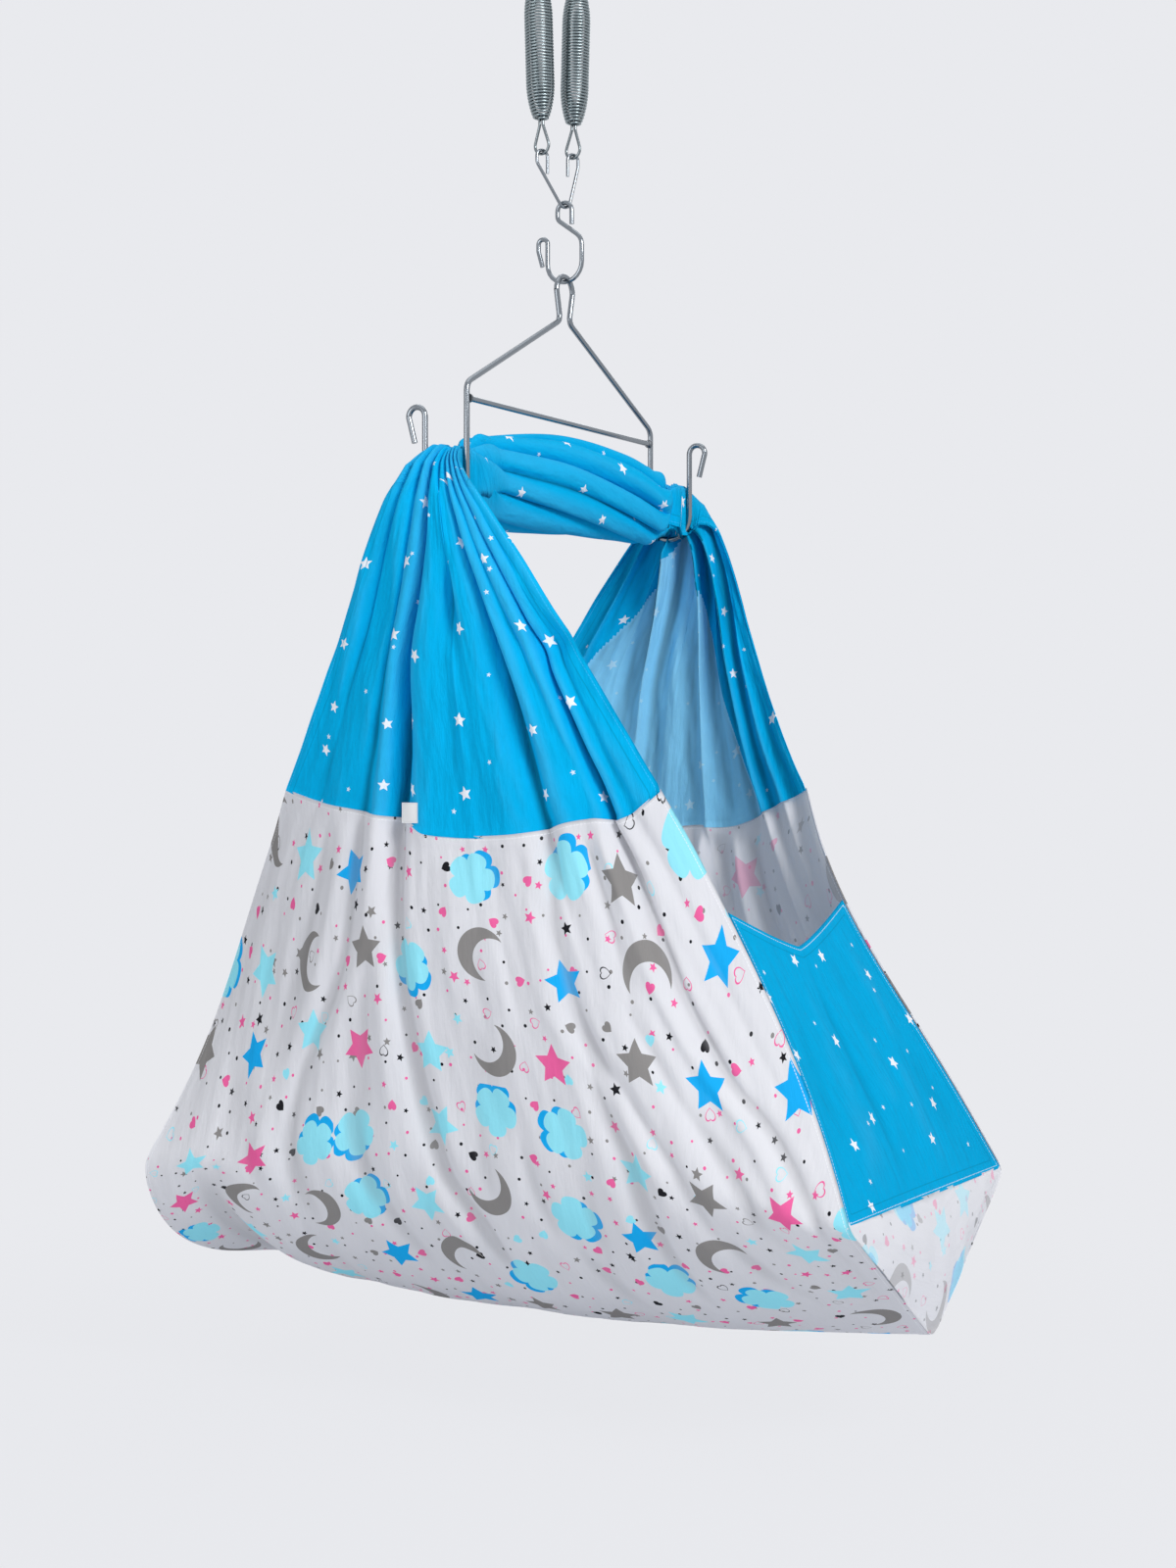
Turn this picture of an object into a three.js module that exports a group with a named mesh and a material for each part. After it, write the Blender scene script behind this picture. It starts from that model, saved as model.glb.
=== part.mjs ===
// Hanging baby cradle: a cloth sling gathered in the two hooks of a bent wire hanger, hung by an S-hook
// and a spring yoke from a pair of close-wound tapered springs.
// Millimetres, +Z up. The origin is the point that the cradle hangs from: straight over the hanger's middle,
// level with the inner crowns of the upper eyes. X runs from the front hook to the rear hook, and Y along the bed.
import * as THREE from "three";

// Gaps and cut-offs
const fit = 0.3; // gap left between pieces that touch
const slack = 1.2; // free play at the wire ends that close on themselves
const eyeSlant = 0.2; // more drop where the yoke's eyes cross the spring eyes aslant
const hookSlant = 0.25; // more drop where the S-hook crosses the yoke aslant
const coilGap = 0.75; // free gap between neighbouring turns of a spring

// Springs
const springWire = 3.0;
const springOuter = 30.0; // outside diameter of the body
const springTip = 15.0; // outside diameter of the last turn
const springTurns = 38;
const springTaper = 38.0; // length of each tapered end
const taperShare = 0.7; // roundness of the taper: less is blunter
const springSpreadTop = 24.6; // half the distance between the upper eyes
const springSpreadFoot = 18.6; // half the distance between the lower eyes
const springShift = 8.5; // from the line of the load to the middle between the springs

// Spring eyes: a pear-shaped loop whose two feet sit inside the tapered end of the spring
const eyeWire = 3.2;
const eyeRadius = 8.6; // centre line
const eyeNeck = 2.1; // half the distance between the two wires in the neck
const eyeNeckHeight = 21.0; // from the ring's centre to where the wires run parallel
const eyeDrop = 27.0; // from the ring's centre to the end of the spring
const eyeFoot = 5.4; // reach of each foot from the spring's axis
const footShare = 0.29; // of a turn's pitch, by which the feet stand up the spring
const eyeTurn = -5.0; // degrees, plane of the eyes about the vertical

// Yoke: one wire with an eye at each end and a rounded V between
const yokeWire = 3.5;
const yokeEye = 6.2; // centre-line radius of each eye
const yokeHeight = 56.0; // from the eyes' top to the bottom of the V
const yokeShank = 13.0; // from the eyes' top to where each shank turns in
const yokeTail = 23.5; // from the eyes' top to the cut end of the wire
const yokeBend = 6.5; // centre-line radius at the bottom of the V
const yokeShankBend = 8.0;
const yokeTurn = 60.0; // degrees, plane of the yoke and the springs

// S-hook
const sWire = 5.0;
const sHeight = 82.5; // between the centre lines of its two bends
const sTop = 8.5; // centre-line radius of the upper bend
const sTip = 23.0; // length of the upper tip below the bend's top
const sWaist = 17.0; // from the top to where the wire crosses over
const sWaistBend = 7.0;
const sShoulder = 38.0; // from the top to the shoulder of the bowl
const sShoulderBend = 14.0;
const sBowl = 20.5; // half the width of the lower bowl
const sBowlBend = 20.0;
const sCurl = 11.0; // width of the rolled safety end
const sCurlBend = 5.0;
const sCurlDrop = 19.0;
const sCurlTail = 26.0;

// Hanger: one bent rod with a cloth hook at each end, and a bar welded between its legs
const rod = 6.0;
const legSpan = 380.0; // between the legs' centre lines
const loopRadius = 16.4; // centre line of the top loop
const neckHalf = 9.2; // half the distance between the rod's two runs at the neck
const neckDrop = 47.0; // from the loop's top to the neck
const neckBend = 9.0;
const armDrop = 90.0; // from the neck to the shoulders
const shoulderBend = 12.0;
const barDrop = 15.0; // from the shoulders to the cross bar
const hookRadius = 24.2; // centre line of each cloth hook
const hookDrop = 122.0; // from the shoulders to the bottom of the hooks
const hookTipRise = 102.0; // from the bottom of a hook to the top of its curl
const curlRadius = 9.5;
const curlTail = 35.0; // from the curl's top to the cut end
const curlTuck = 7.0; // how far the cut end leans back in
const curlEaseShare = 0.98; // of the curl's radius, at its far side, where the cut end leans in
const weldReach = 4.0; // length of each weld bead along the bar
const weldRise = 1.6; // how far a bead stands over the bar

// Cloth
const cloth = 1.6; // thickness of the sheet as a solid
const bedHalf = 402.0; // half the length of the bed
const bedReach = 198.0; // half the width of the bed, at its long edges
const bellyReach = 214.0; // how far the walls bulge at their middle
const pinchReach = 136.0; // half the width at the top of the end panels
const seamReach = 164.0; // half the width at the seam's ends
const seamMiddle = 205.0; // half the width at the seam's middle
const frontSpan = 216.0; // half the length of the front seam
const rearSpan = 194.0; // half the length of the rear seam, whose cloth is drawn in further
const frontShift = 13.0; // how far the front seam's middle lies to its hook's side
const rearShift = 4.0; // and the rear seam's
const seamDrop = 297.0; // from the hooks' centres down to the seam at the walls' edges
const seamLean = 0.6; // more gap at the seam, whose two edges lean apart
const seamSag = 47.0; // how much lower the seam lies at mid wall
const edgeDrop = 690.0; // from the hooks' centres down to the bed's long edges at its ends
const edgeLift = 70.0; // how much higher the bed starts to turn under at its middle
const bedDrop = 848.0; // from the hooks' centres down to the lowest cloth
const bedEndRise = 26.0; // how much the bed's keel rises to its ends
const panelTop = 414.0; // from the hooks' centres down to the top of the end panels
const endBow = 12.0; // how far the walls' ends bow in from a straight line
const panelSag = 38.0; // dip of the end panels' top edge
const panelFit = 0.2; // gap between the end panels and the walls they are sewn to
const panelInset = 2.4; // how far the end panels stand inside the walls' ends
const throatOver = 11.0; // how far the gathered cloth runs inside the hook's plane
const bundleShare = 0.99; // the gathered cloth's part of the hook's clear width
const throatRise = 30.0; // gathered cloth above the hooks' centres
const drapeStand = 24.0; // how far the drape's middle stands outside the hook
const foldDeep = 9.0; // depth of the main folds
const bridgeHigh = 47.0; // half the height of the gathered cloth between the hooks
const bridgeWide = 33.0; // half its width
const bridgeTwist = 70.0; // degrees, twist of its folds from end to end
const bridgeLift = 9.0; // how far its middle stands above the hooks' centres
const labelWide = 21.0;
const labelHigh = 20.0;
const labelThick = 1.0;
const labelSink = 0.45; // how far the label settles between the folds
const labelPlace = 52.0; // from the hanger's plane along the seam to the label's middle

// Shares of the fan's depth, with its span, its thickness and its folds at each
const fanShares = [0, 0.08, 0.2, 0.37, 0.56, 0.78, 1];
const spanShares = [0.16, 0.27, 0.39, 0.53, 0.68, 0.84, 1];
const plumpShares = [0.85, 0.6, 0.3, 0.1, 0, 0, 0];
const foldShares = [0, 0.15, 0.5, 0.8, 1, 0.95, 0.85];
const turnShares = [0.6, 0.25, 0, 0, 0, 0, 0];
// Shares of the bridge's length, with the swelling of its section at each
const bridgeShares = [0, 0.12, 0.3, 0.5, 0.7, 0.88, 1];
const swellShares = [0, 0.5, 0.9, 1, 0.9, 0.5, 0];
const rippleShare = 0.11; // depth of the bridge's folds, of its radius
const roundShares = 3; // fan rows, from the hook, over which the round section opens out flat
// How late along the bed the wall and the keel draw in to their ends: more is later
const wallHoldShare = 2.5;
const keelHoldShare = 3;
const farRoundShare = 0.85; // how much rounder the bed's far end is than its near end, which is drawn to a V
// Places along the front seam, with how much lower its folds set the seam at each
const seamPlaces = [-1, -0.9, -0.83, -0.72, -0.5, -0.2, 0, 0.1, 0.2, 0.3, 0.5, 0.72, 1];
const seamDips = [0, 11, 14, 5, 3, 0, -3, -5, -13, -15, -14, -8, 0];

// Facets
const wireSides = 10;
const bendStep = THREE.MathUtils.degToRad(16);
const springSteps = 8;
const springSides = 4;
const foldCount = 6;
const wallColumns = 24;
const wallRows = 4;
const keelRows = 4;
const bridgeSides = 20;
const bridgeRipples = 5;
const panelColumns = 10;
const panelRows = 4;

// Heights, each from the piece above it
const upperRingZ = -(eyeRadius - eyeWire / 2);
const springPitch = springWire + coilGap;
const springLength = springTurns * springPitch;
const axisLength = springLength + 2 * eyeDrop;
const axisDrop = Math.sqrt(axisLength ** 2 - (springSpreadTop - springSpreadFoot) ** 2);
const lowerRingZ = upperRingZ - axisDrop;
const springLean = Math.atan2(springSpreadTop - springSpreadFoot, axisDrop);
const ringFootZ = lowerRingZ - eyeRadius * Math.cos(springLean);
const ringFootSpread = springSpreadFoot - eyeRadius * Math.sin(springLean);
const yokeTopZ = ringFootZ + (eyeWire + yokeWire) / 2 + fit + eyeSlant;
const yokeFootZ = yokeTopZ - yokeHeight;
const sTopZ = yokeFootZ + (yokeWire + sWire) / 2 + fit + hookSlant;
const sFootZ = sTopZ - sHeight;
const loopTopZ = sFootZ + (sWire + rod) / 2 + fit;
const neckZ = loopTopZ - neckDrop;
const shoulderZ = neckZ - armDrop;
const barZ = shoulderZ - barDrop;
const hookFootZ = shoulderZ - hookDrop;
const seatZ = hookFootZ + hookRadius; // centres of the two cloth hooks
const legX = legSpan / 2;

// Finishes
const steel = new THREE.MeshStandardMaterial({ color: 0xc4cbd0, roughness: 0.22, metalness: 1 });
const springSteel = new THREE.MeshStandardMaterial({ color: 0x8f9fa4, roughness: 0.3, metalness: 1 });
const blueCloth = new THREE.MeshStandardMaterial({ color: 0x08aeea, roughness: 0.85, metalness: 0 });
const whiteCloth = new THREE.MeshStandardMaterial({ color: 0xeceef4, roughness: 0.85, metalness: 0 });
const labelCloth = new THREE.MeshStandardMaterial({ color: 0xf2f2f0, roughness: 0.8, metalness: 0 });

const part = new THREE.Group();

function add(name, geometry, material, parent = part) {
  const mesh = new THREE.Mesh(geometry, material);
  mesh.name = name;
  parent.add(mesh);
  return mesh;
}

const along = (a, b, share) => a + (b - a) * share;

// Centre line of a bent wire: straight runs between corners, each corner rounded to its own radius.
class BentWire extends THREE.Curve {
  constructor(corners, radii) {
    super();
    this.points = [corners[0]];
    for (let i = 1; i < corners.length - 1; i++) this.bend(corners[i - 1], corners[i], corners[i + 1], radii[i - 1]);
    this.points.push(corners[corners.length - 1]);
  }

  bend(before, corner, after, radius) {
    const back = before.clone().sub(corner).normalize();
    const ahead = after.clone().sub(corner).normalize();
    const half = back.angleTo(ahead) / 2;
    const middle = back.clone().add(ahead).normalize();
    const centre = corner.clone().addScaledVector(middle, radius / Math.sin(half));
    const run = radius / Math.tan(half);
    const from = corner.clone().addScaledVector(back, run).sub(centre);
    const to = corner.clone().addScaledVector(ahead, run).sub(centre);
    const sweep = Math.PI - 2 * half;
    const steps = Math.max(2, Math.round(sweep / bendStep));
    for (let k = 0; k <= steps; k++) {
      const a = Math.sin(sweep * (1 - k / steps)) / Math.sin(sweep);
      const b = Math.sin((sweep * k) / steps) / Math.sin(sweep);
      this.points.push(centre.clone().addScaledVector(from, a).addScaledVector(to, b));
    }
  }

  // Steps fall on the bends and not evenly along the length.
  getUtoTmapping(u) {
    return u;
  }

  getPoint(t, target = new THREE.Vector3()) {
    const place = THREE.MathUtils.clamp(t, 0, 1) * (this.points.length - 1);
    const i = Math.min(Math.floor(place), this.points.length - 2);
    return target.lerpVectors(this.points[i], this.points[i + 1], place - i);
  }
}

// A round section with flats, for sweeping along a wire's centre line.
function roundSection(diameter, sides) {
  const corners = [];
  for (let i = 0; i < sides; i++) {
    const turn = (2 * Math.PI * (i + 1 / 2)) / sides;
    corners.push(new THREE.Vector2(Math.cos(turn), Math.sin(turn)).multiplyScalar(diameter / 2));
  }
  return new THREE.Shape(corners);
}

function wire(corners, radii, diameter) {
  const line = new BentWire(corners, radii);
  return new THREE.ExtrudeGeometry(roundSection(diameter, wireSides), {
    extrudePath: line,
    steps: line.points.length - 1,
  });
}

// Corners given across and up, set in the upright plane through the Z axis that is turned by degrees from -Y to +X.
function inPlane(degrees, pairs) {
  const turn = THREE.MathUtils.degToRad(degrees);
  return pairs.map(([across, up]) => new THREE.Vector3(across * Math.sin(turn), -across * Math.cos(turn), up));
}

// A closed solid from two grids of points, rows by columns, with walls round their rims.
function solidBetween(outer, inner) {
  const rows = outer.length;
  const columns = outer[0].length;
  const points = [...outer.flat(), ...inner.flat()];
  const shift = rows * columns;
  const at = (r, c) => r * columns + c;
  const faces = [];
  const quad = (a, b, c, d) => faces.push(a, b, c, a, c, d);
  for (let r = 0; r < rows - 1; r++)
    for (let c = 0; c < columns - 1; c++) {
      quad(at(r, c), at(r + 1, c), at(r + 1, c + 1), at(r, c + 1));
      quad(shift + at(r, c), shift + at(r, c + 1), shift + at(r + 1, c + 1), shift + at(r + 1, c));
    }
  for (let c = 0; c < columns - 1; c++) {
    quad(at(0, c), at(0, c + 1), shift + at(0, c + 1), shift + at(0, c));
    quad(at(rows - 1, c + 1), at(rows - 1, c), shift + at(rows - 1, c), shift + at(rows - 1, c + 1));
  }
  for (let r = 0; r < rows - 1; r++) {
    quad(at(r + 1, 0), at(r, 0), shift + at(r, 0), shift + at(r + 1, 0));
    quad(at(r, columns - 1), at(r + 1, columns - 1), shift + at(r + 1, columns - 1), shift + at(r, columns - 1));
  }
  return closedGeometry(points, faces);
}

// Faces are turned to point out if the solid they close is inside out.
function closedGeometry(points, faces) {
  let volume = 0;
  for (let i = 0; i < faces.length; i += 3) {
    const [a, b, c] = [points[faces[i]], points[faces[i + 1]], points[faces[i + 2]]];
    volume += a.dot(b.clone().cross(c));
  }
  if (volume < 0) faces.reverse();
  const geometry = new THREE.BufferGeometry().setFromPoints(points);
  geometry.setIndex(faces);
  return geometry;
}

// Springs

function springRadius(run) {
  const share = Math.min(1, Math.min(run, springLength - run) / springTaper);
  const swell = Math.sin((share * Math.PI) / 2) ** taperShare;
  return along(springTip, springOuter, swell) / 2 - springWire / 2;
}

function springLine() {
  const points = [];
  const count = springTurns * springSteps;
  for (let i = 0; i <= count; i++) {
    const turn = (2 * Math.PI * i) / springSteps;
    const run = (springLength * i) / count;
    const radius = springRadius(run);
    points.push(new THREE.Vector3(radius * Math.cos(turn), radius * Math.sin(turn), run));
  }
  return points;
}

// The wire's section at each point: its corners point along the spring's axis and its radius.
function springCoil() {
  const line = springLine();
  const points = [];
  const faces = [];
  const half = springWire / 2;
  line.forEach((p) => {
    const outward = new THREE.Vector3(p.x, p.y, 0).normalize();
    for (let k = 0; k < springSides; k++) {
      const turn = (2 * Math.PI * k) / springSides;
      const corner = p.clone().addScaledVector(outward, half * Math.cos(turn));
      corner.z += half * Math.sin(turn);
      points.push(corner);
    }
  });
  const last = (line.length - 1) * springSides;
  for (let i = 0; i < line.length - 1; i++)
    for (let k = 0; k < springSides; k++) {
      const a = i * springSides + k;
      const b = i * springSides + ((k + 1) % springSides);
      faces.push(a, a + springSides, b + springSides, a, b + springSides, b);
    }
  for (let k = 1; k < springSides - 1; k++) {
    faces.push(0, k, k + 1);
    faces.push(last, last + k + 1, last + k);
  }
  return closedGeometry(points, faces);
}

// The least gap between points of the coil that lie at least half a turn apart, less the wire.
function leastCoilGap() {
  const line = springLine();
  let least = Infinity;
  for (let i = 0; i < line.length; i++)
    for (let j = i + springSteps / 2; j < Math.min(line.length, i + 2 * springSteps); j++)
      least = Math.min(least, line[i].distanceTo(line[j]));
  return least - springWire;
}

// Half width of the pear at the ring's foot: its straight side leaves the neck and just touches the ring.
function pearFoot() {
  const a = eyeNeckHeight ** 2 - eyeRadius ** 2;
  const b = 2 * eyeNeck * eyeNeckHeight;
  const c = eyeNeck ** 2 - eyeRadius ** 2;
  const slope = (-b + Math.sqrt(b * b - 4 * a * c)) / (2 * a);
  return eyeNeck + slope * (eyeNeckHeight + eyeRadius);
}

// The feet rest on the last turn, which they pull on, and stay inside the turn above it.
const footRise = eyeDrop + springPitch * footShare + (springWire + eyeWire) / 2 + fit;

function springEye() {
  const foot = pearFoot();
  const corners = inPlane(eyeTurn, [
    [eyeFoot, footRise],
    [eyeNeck, footRise],
    [eyeNeck, eyeNeckHeight],
    [foot, -eyeRadius],
    [-foot, -eyeRadius],
    [-eyeNeck, eyeNeckHeight],
    [-eyeNeck, footRise],
    [-eyeFoot, footRise],
  ]);
  const heel = eyeWire / 2;
  return wire(corners, [heel, eyeWire, eyeRadius, eyeRadius, eyeWire, heel], eyeWire);
}

function buildSprings() {
  const coil = springCoil();
  const eye = springEye();
  const plane = THREE.MathUtils.degToRad(yokeTurn);
  const across = new THREE.Vector3(Math.sin(plane), -Math.cos(plane), 0);
  for (const [name, side] of [["left", -1], ["right", 1]]) {
    const foot = across.clone().multiplyScalar(side * springSpreadFoot - springShift).setZ(lowerRingZ);
    const head = across.clone().multiplyScalar(side * springSpreadTop - springShift).setZ(upperRingZ);
    const axis = head.clone().sub(foot).normalize();
    const upright = new THREE.Vector3(0, 0, 1);

    const lower = new THREE.Group();
    lower.position.copy(foot);
    lower.quaternion.setFromUnitVectors(upright, axis);
    part.add(lower);
    const body = add(`${name}_spring`, coil, springSteel, lower);
    body.position.z = eyeDrop;
    add(`${name}_lower_eye`, eye, steel, lower);

    const upper = add(`${name}_upper_eye`, eye, steel);
    upper.position.copy(head);
    upper.quaternion.setFromUnitVectors(upright, axis);
    upper.rotateX(Math.PI);
  }
}

// Yoke and S-hook

// Where the V's two straight sides meet, from the middle of its round foot: each leaves its own shank, a
// height above that middle, and just touches the round.
function footPoint(leftReach, rightReach, height, radius) {
  const normal = (reach) => {
    const turn = Math.acos(radius / Math.hypot(reach, height)) - Math.atan2(height, Math.abs(reach));
    return [Math.sign(reach) * Math.cos(turn), -Math.sin(turn)];
  };
  const [a, b] = [normal(leftReach), normal(rightReach)];
  const scale = radius / (a[0] * b[1] - a[1] * b[0]);
  return [scale * (b[1] - a[1]), scale * (a[0] - b[0])];
}

function buildYoke() {
  const half = (side) => {
    const middle = side * ringFootSpread - springShift;
    return { within: middle - side * yokeEye, outside: middle + side * yokeEye };
  };
  const left = half(-1);
  const right = half(1);
  const point = footPoint(left.outside, right.outside, yokeHeight - yokeShank - yokeBend, yokeBend);
  const corners = inPlane(yokeTurn, [
    [left.within, yokeTopZ - yokeTail],
    [left.within, yokeTopZ],
    [left.outside, yokeTopZ],
    [left.outside, yokeTopZ - yokeShank],
    [point[0], yokeFootZ + yokeBend + point[1]],
    [right.outside, yokeTopZ - yokeShank],
    [right.outside, yokeTopZ],
    [right.within, yokeTopZ],
    [right.within, yokeTopZ - yokeTail],
  ]);
  const radii = [yokeEye, yokeEye, yokeShankBend, yokeBend, yokeShankBend, yokeEye, yokeEye];
  add("spring_yoke", wire(corners, radii, yokeWire), steel);
}

function buildSHook() {
  const curlOut = sBowl + sCurl;
  const corners = inPlane(0, [
    [sTop, sTopZ - sTip],
    [sTop, sTopZ],
    [-sTop, sTopZ],
    [-sTop, sTopZ - sWaist],
    [sBowl, sTopZ - sShoulder],
    [sBowl, sFootZ],
    [-sBowl, sFootZ],
    [-sBowl, sTopZ - sShoulder + sCurlBend / 2],
    [-curlOut, sTopZ - sShoulder + sCurlBend / 2],
    [-curlOut, sTopZ - sShoulder - sCurlDrop / 2],
    [-sBowl - sWire - slack, sTopZ - sShoulder - sCurlTail],
  ]);
  const radii = [sTop, sTop, sWaistBend, sShoulderBend, sBowlBend, sBowlBend, sCurlBend, sCurlBend, sCurlBend];
  add("s_hook", wire(corners, radii, sWire), steel);
}

// Hanger

function hangerHalf(side) {
  const p = (x, y, z) => new THREE.Vector3(side * x, -side * y, z);
  const shaft = 2 * hookRadius;
  const curlTop = hookFootZ + hookTipRise;
  const curl = shaft + 2 * curlRadius;
  return {
    corners: [
      p(legX, curl - curlTuck, curlTop - curlTail),
      p(legX, curl, curlTop - curlRadius),
      p(legX, curl, curlTop),
      p(legX, shaft, curlTop),
      p(legX, shaft, hookFootZ),
      p(legX, 0, hookFootZ),
      p(legX, 0, shoulderZ),
      p(neckHalf, 0, neckZ),
      p(loopRadius, 0, loopTopZ - loopRadius),
      p(loopRadius, 0, loopTopZ),
    ],
    radii: [
      curlRadius,
      curlRadius * curlEaseShare,
      curlRadius,
      hookRadius,
      hookRadius,
      shoulderBend,
      neckBend,
      loopRadius,
      loopRadius,
    ],
  };
}

function buildHanger() {
  const left = hangerHalf(-1);
  const right = hangerHalf(1);
  const corners = [...left.corners, ...right.corners.reverse()];
  const radii = [...left.radii, ...right.radii.reverse()];
  add("hanger_frame", wire(corners, radii, rod), steel);

  const bead = weldReach;
  const barHalf = legX - (rod / 2) * Math.cos(Math.PI / wireSides) - fit;
  const bar = new THREE.CylinderGeometry(rod / 2, rod / 2, 2 * (barHalf - bead - fit), wireSides + 2);
  const crossBar = add("cross_bar", bar, steel);
  crossBar.rotation.z = Math.PI / 2;
  crossBar.position.z = barZ;
  for (const [name, side] of [["left", -1], ["right", 1]]) {
    const profile = [
      new THREE.Vector2(0, 0),
      new THREE.Vector2(rod / 2, 0),
      new THREE.Vector2(rod / 2 + weldRise, weldReach / 2),
      new THREE.Vector2(rod / 2 + weldRise, weldReach),
      new THREE.Vector2(0, weldReach),
    ];
    const weld = add(`${name}_weld`, new THREE.LatheGeometry(profile, wireSides + 2), steel);
    weld.rotation.z = (-side * Math.PI) / 2;
    weld.position.set(side * (barHalf - bead), 0, barZ);
  }
}

// Cloth: the front half is worked out with its reach from the middle and its run along the bed; the rear half
// is the same half turned about the Z axis.

const halfTurn = (side) => (reach, run, z) => new THREE.Vector3(side * reach, -side * run, z);
const bundleHalf = (hookRadius - rod / 2) * bundleShare - fit;

// Reads a table whose places rise, straight between its entries.
function reading(places, values, at) {
  const last = places.length - 2;
  let i = 0;
  while (i < last && at > places[i + 1]) i++;
  return along(values[i], values[i + 1], (at - places[i]) / (places[i + 1] - places[i]));
}

const seamDropAt = (side, s) =>
  seamDrop + seamSag * (1 - s * s) + (side < 0 ? reading(seamPlaces, seamDips, s) : 0);
const edgeDropAt = (s) => edgeDrop - edgeLift * (1 - s * s) ** 2;
const seamSpan = (side) => (side < 0 ? frontSpan : rearSpan);
const seamShift = (side) => (side < 0 ? frontShift : rearShift);
const fold = (s) => Math.cos(Math.PI * foldCount * s);

// Columns crowd to the edges where the section is round, so that its sides stay smooth.
const roundColumn = (c) => Math.sin((Math.PI / 2) * ((2 * c) / wallColumns - 1));
const evenColumn = (c) => (2 * c) / wallColumns - 1;

function drape(side) {
  const place = halfTurn(side);
  const outer = [];
  const inner = [];
  for (const reach of [legX - throatOver, legX + rod / 2 + fit]) {
    const above = [];
    const below = [];
    for (let c = 0; c <= wallColumns; c++) {
      const s = roundColumn(c);
      const round = Math.max(cloth / 2 / bundleHalf, Math.sqrt(Math.max(0, 1 - s * s)));
      above.push(place(reach, hookRadius + bundleHalf * s, seatZ + throatRise * round));
      below.push(place(reach, hookRadius + bundleHalf * s, seatZ - bundleHalf * round));
    }
    outer.push(above);
    inner.push(below);
  }
  fanShares.forEach((share, i) => {
    const outside = [];
    const inside = [];
    const turn = (Math.PI / 2) * turnShares[i];
    for (let c = 0; c <= wallColumns; c++) {
      const s = along(roundColumn(c), evenColumn(c), Math.min(1, share / fanShares[roundShares]));
      const run = along(hookRadius, seamShift(side), share) + seamSpan(side) * spanShares[i] * s;
      const hem = along(seamMiddle, seamReach, s * s);
      const reach = along(legX + drapeStand * Math.cos(turn), hem, share);
      const drop = share * seamDropAt(side, s);
      const plump = bundleHalf * plumpShares[i] * Math.sqrt(Math.max(0, 1 - s * s));
      const middle = foldDeep * foldShares[i] * fold(s);
      const half = cloth / 2 + plump;
      const at = (out) => place(reach + out * Math.cos(turn), run, seatZ - drop + out * Math.sin(turn));
      outside.push(at(middle + half));
      inside.push(at(middle - half));
    }
    outer.push(outside);
    inner.push(inside);
  });
  return solidBetween(outer, inner);
}

// Share of the wall's height, from the seam to the bed's edge, at which the end panels start
const pinchShare = (panelTop - seamDrop) / (edgeDrop - seamDrop);

// The wall's end runs in one smooth sweep through its reach at the seam, at the panel's top and at the bed.
function endReach(g) {
  const seam = ((g - pinchShare) * (g - 1)) / pinchShare;
  const pinch = (g * (g - 1)) / (pinchShare * (pinchShare - 1));
  const bed = (g * (g - pinchShare)) / (1 - pinchShare);
  return seamReach * seam + pinchReach * pinch + bedReach * bed;
}

const seamShiftAt = (side, g) => along(seamShift(side), 0, g);
const endRun = (side, g) => along(seamSpan(side), bedHalf, g) - endBow * 4 * g * (1 - g);

// A point of the wall, at share g from the seam down to the bed's edge and place s from end to end
function wallPoint(side, s, g) {
  const hold = Math.abs(s) ** wallHoldShare;
  const belly = (bellyReach - seamMiddle) * Math.sin(Math.PI * g);
  const middle = along(seamMiddle, bedReach, g) + belly;
  const reach = along(middle, endReach(g), hold) + foldDeep * along(foldShares[6], 0, Math.sqrt(g)) * fold(s);
  const top = seamDropAt(side, s) + fit + seamLean;
  const foot = edgeDropAt(s);
  const run = seamShiftAt(side, g) + endRun(side, g) * s;
  return [reach, run, seatZ - along(top, foot, g)];
}

// A point of the bed below the wall, at share k from the edge to the keel
function underPoint(side, s, k) {
  const rounder = side * s < 0 ? farRoundShare : 0;
  const hold = (1 - rounder) * Math.abs(s) ** keelHoldShare;
  const turn = (k * Math.PI) / 2;
  const edge = edgeDropAt(s);
  const keel = bedDrop - bedEndRise * s * s;
  const reach = bedReach * along(Math.cos(turn), 1 - k, hold);
  const drop = along(edge, keel, along(Math.sin(turn), k, hold));
  return [reach, bedHalf * s, seatZ - drop];
}

function bedRow(side, pointAt, closed) {
  const place = halfTurn(side);
  const count = wallColumns + 2;
  const row = [];
  for (let c = 0; c <= count; c++) {
    const s = closed === null ? (2 * c) / count - 1 : (2 * (c - 1)) / wallColumns - 1;
    if (closed !== null && (c === 0 || c === count)) {
      const run = c === 0 ? -bedHalf : bedHalf;
      row.push(place(bedReach * (1 - closed), run, seatZ - edgeDrop));
    } else row.push(place(...pointAt(s)));
  }
  return side < 0 ? row : row.reverse();
}

function bed() {
  const half = (side) => {
    const rows = [];
    for (let r = 0; r <= wallRows; r++) rows.push(bedRow(side, (s) => wallPoint(side, s, r / wallRows), null));
    for (let r = 1; r < keelRows; r++) rows.push(bedRow(side, (s) => underPoint(side, s, r / keelRows), r / keelRows));
    return rows;
  };
  const keel = bedRow(-1, (s) => underPoint(-1, s, 1), 1);
  const rows = [...half(-1), keel, ...half(1).reverse()];
  return thickened(rows, cloth);
}

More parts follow.
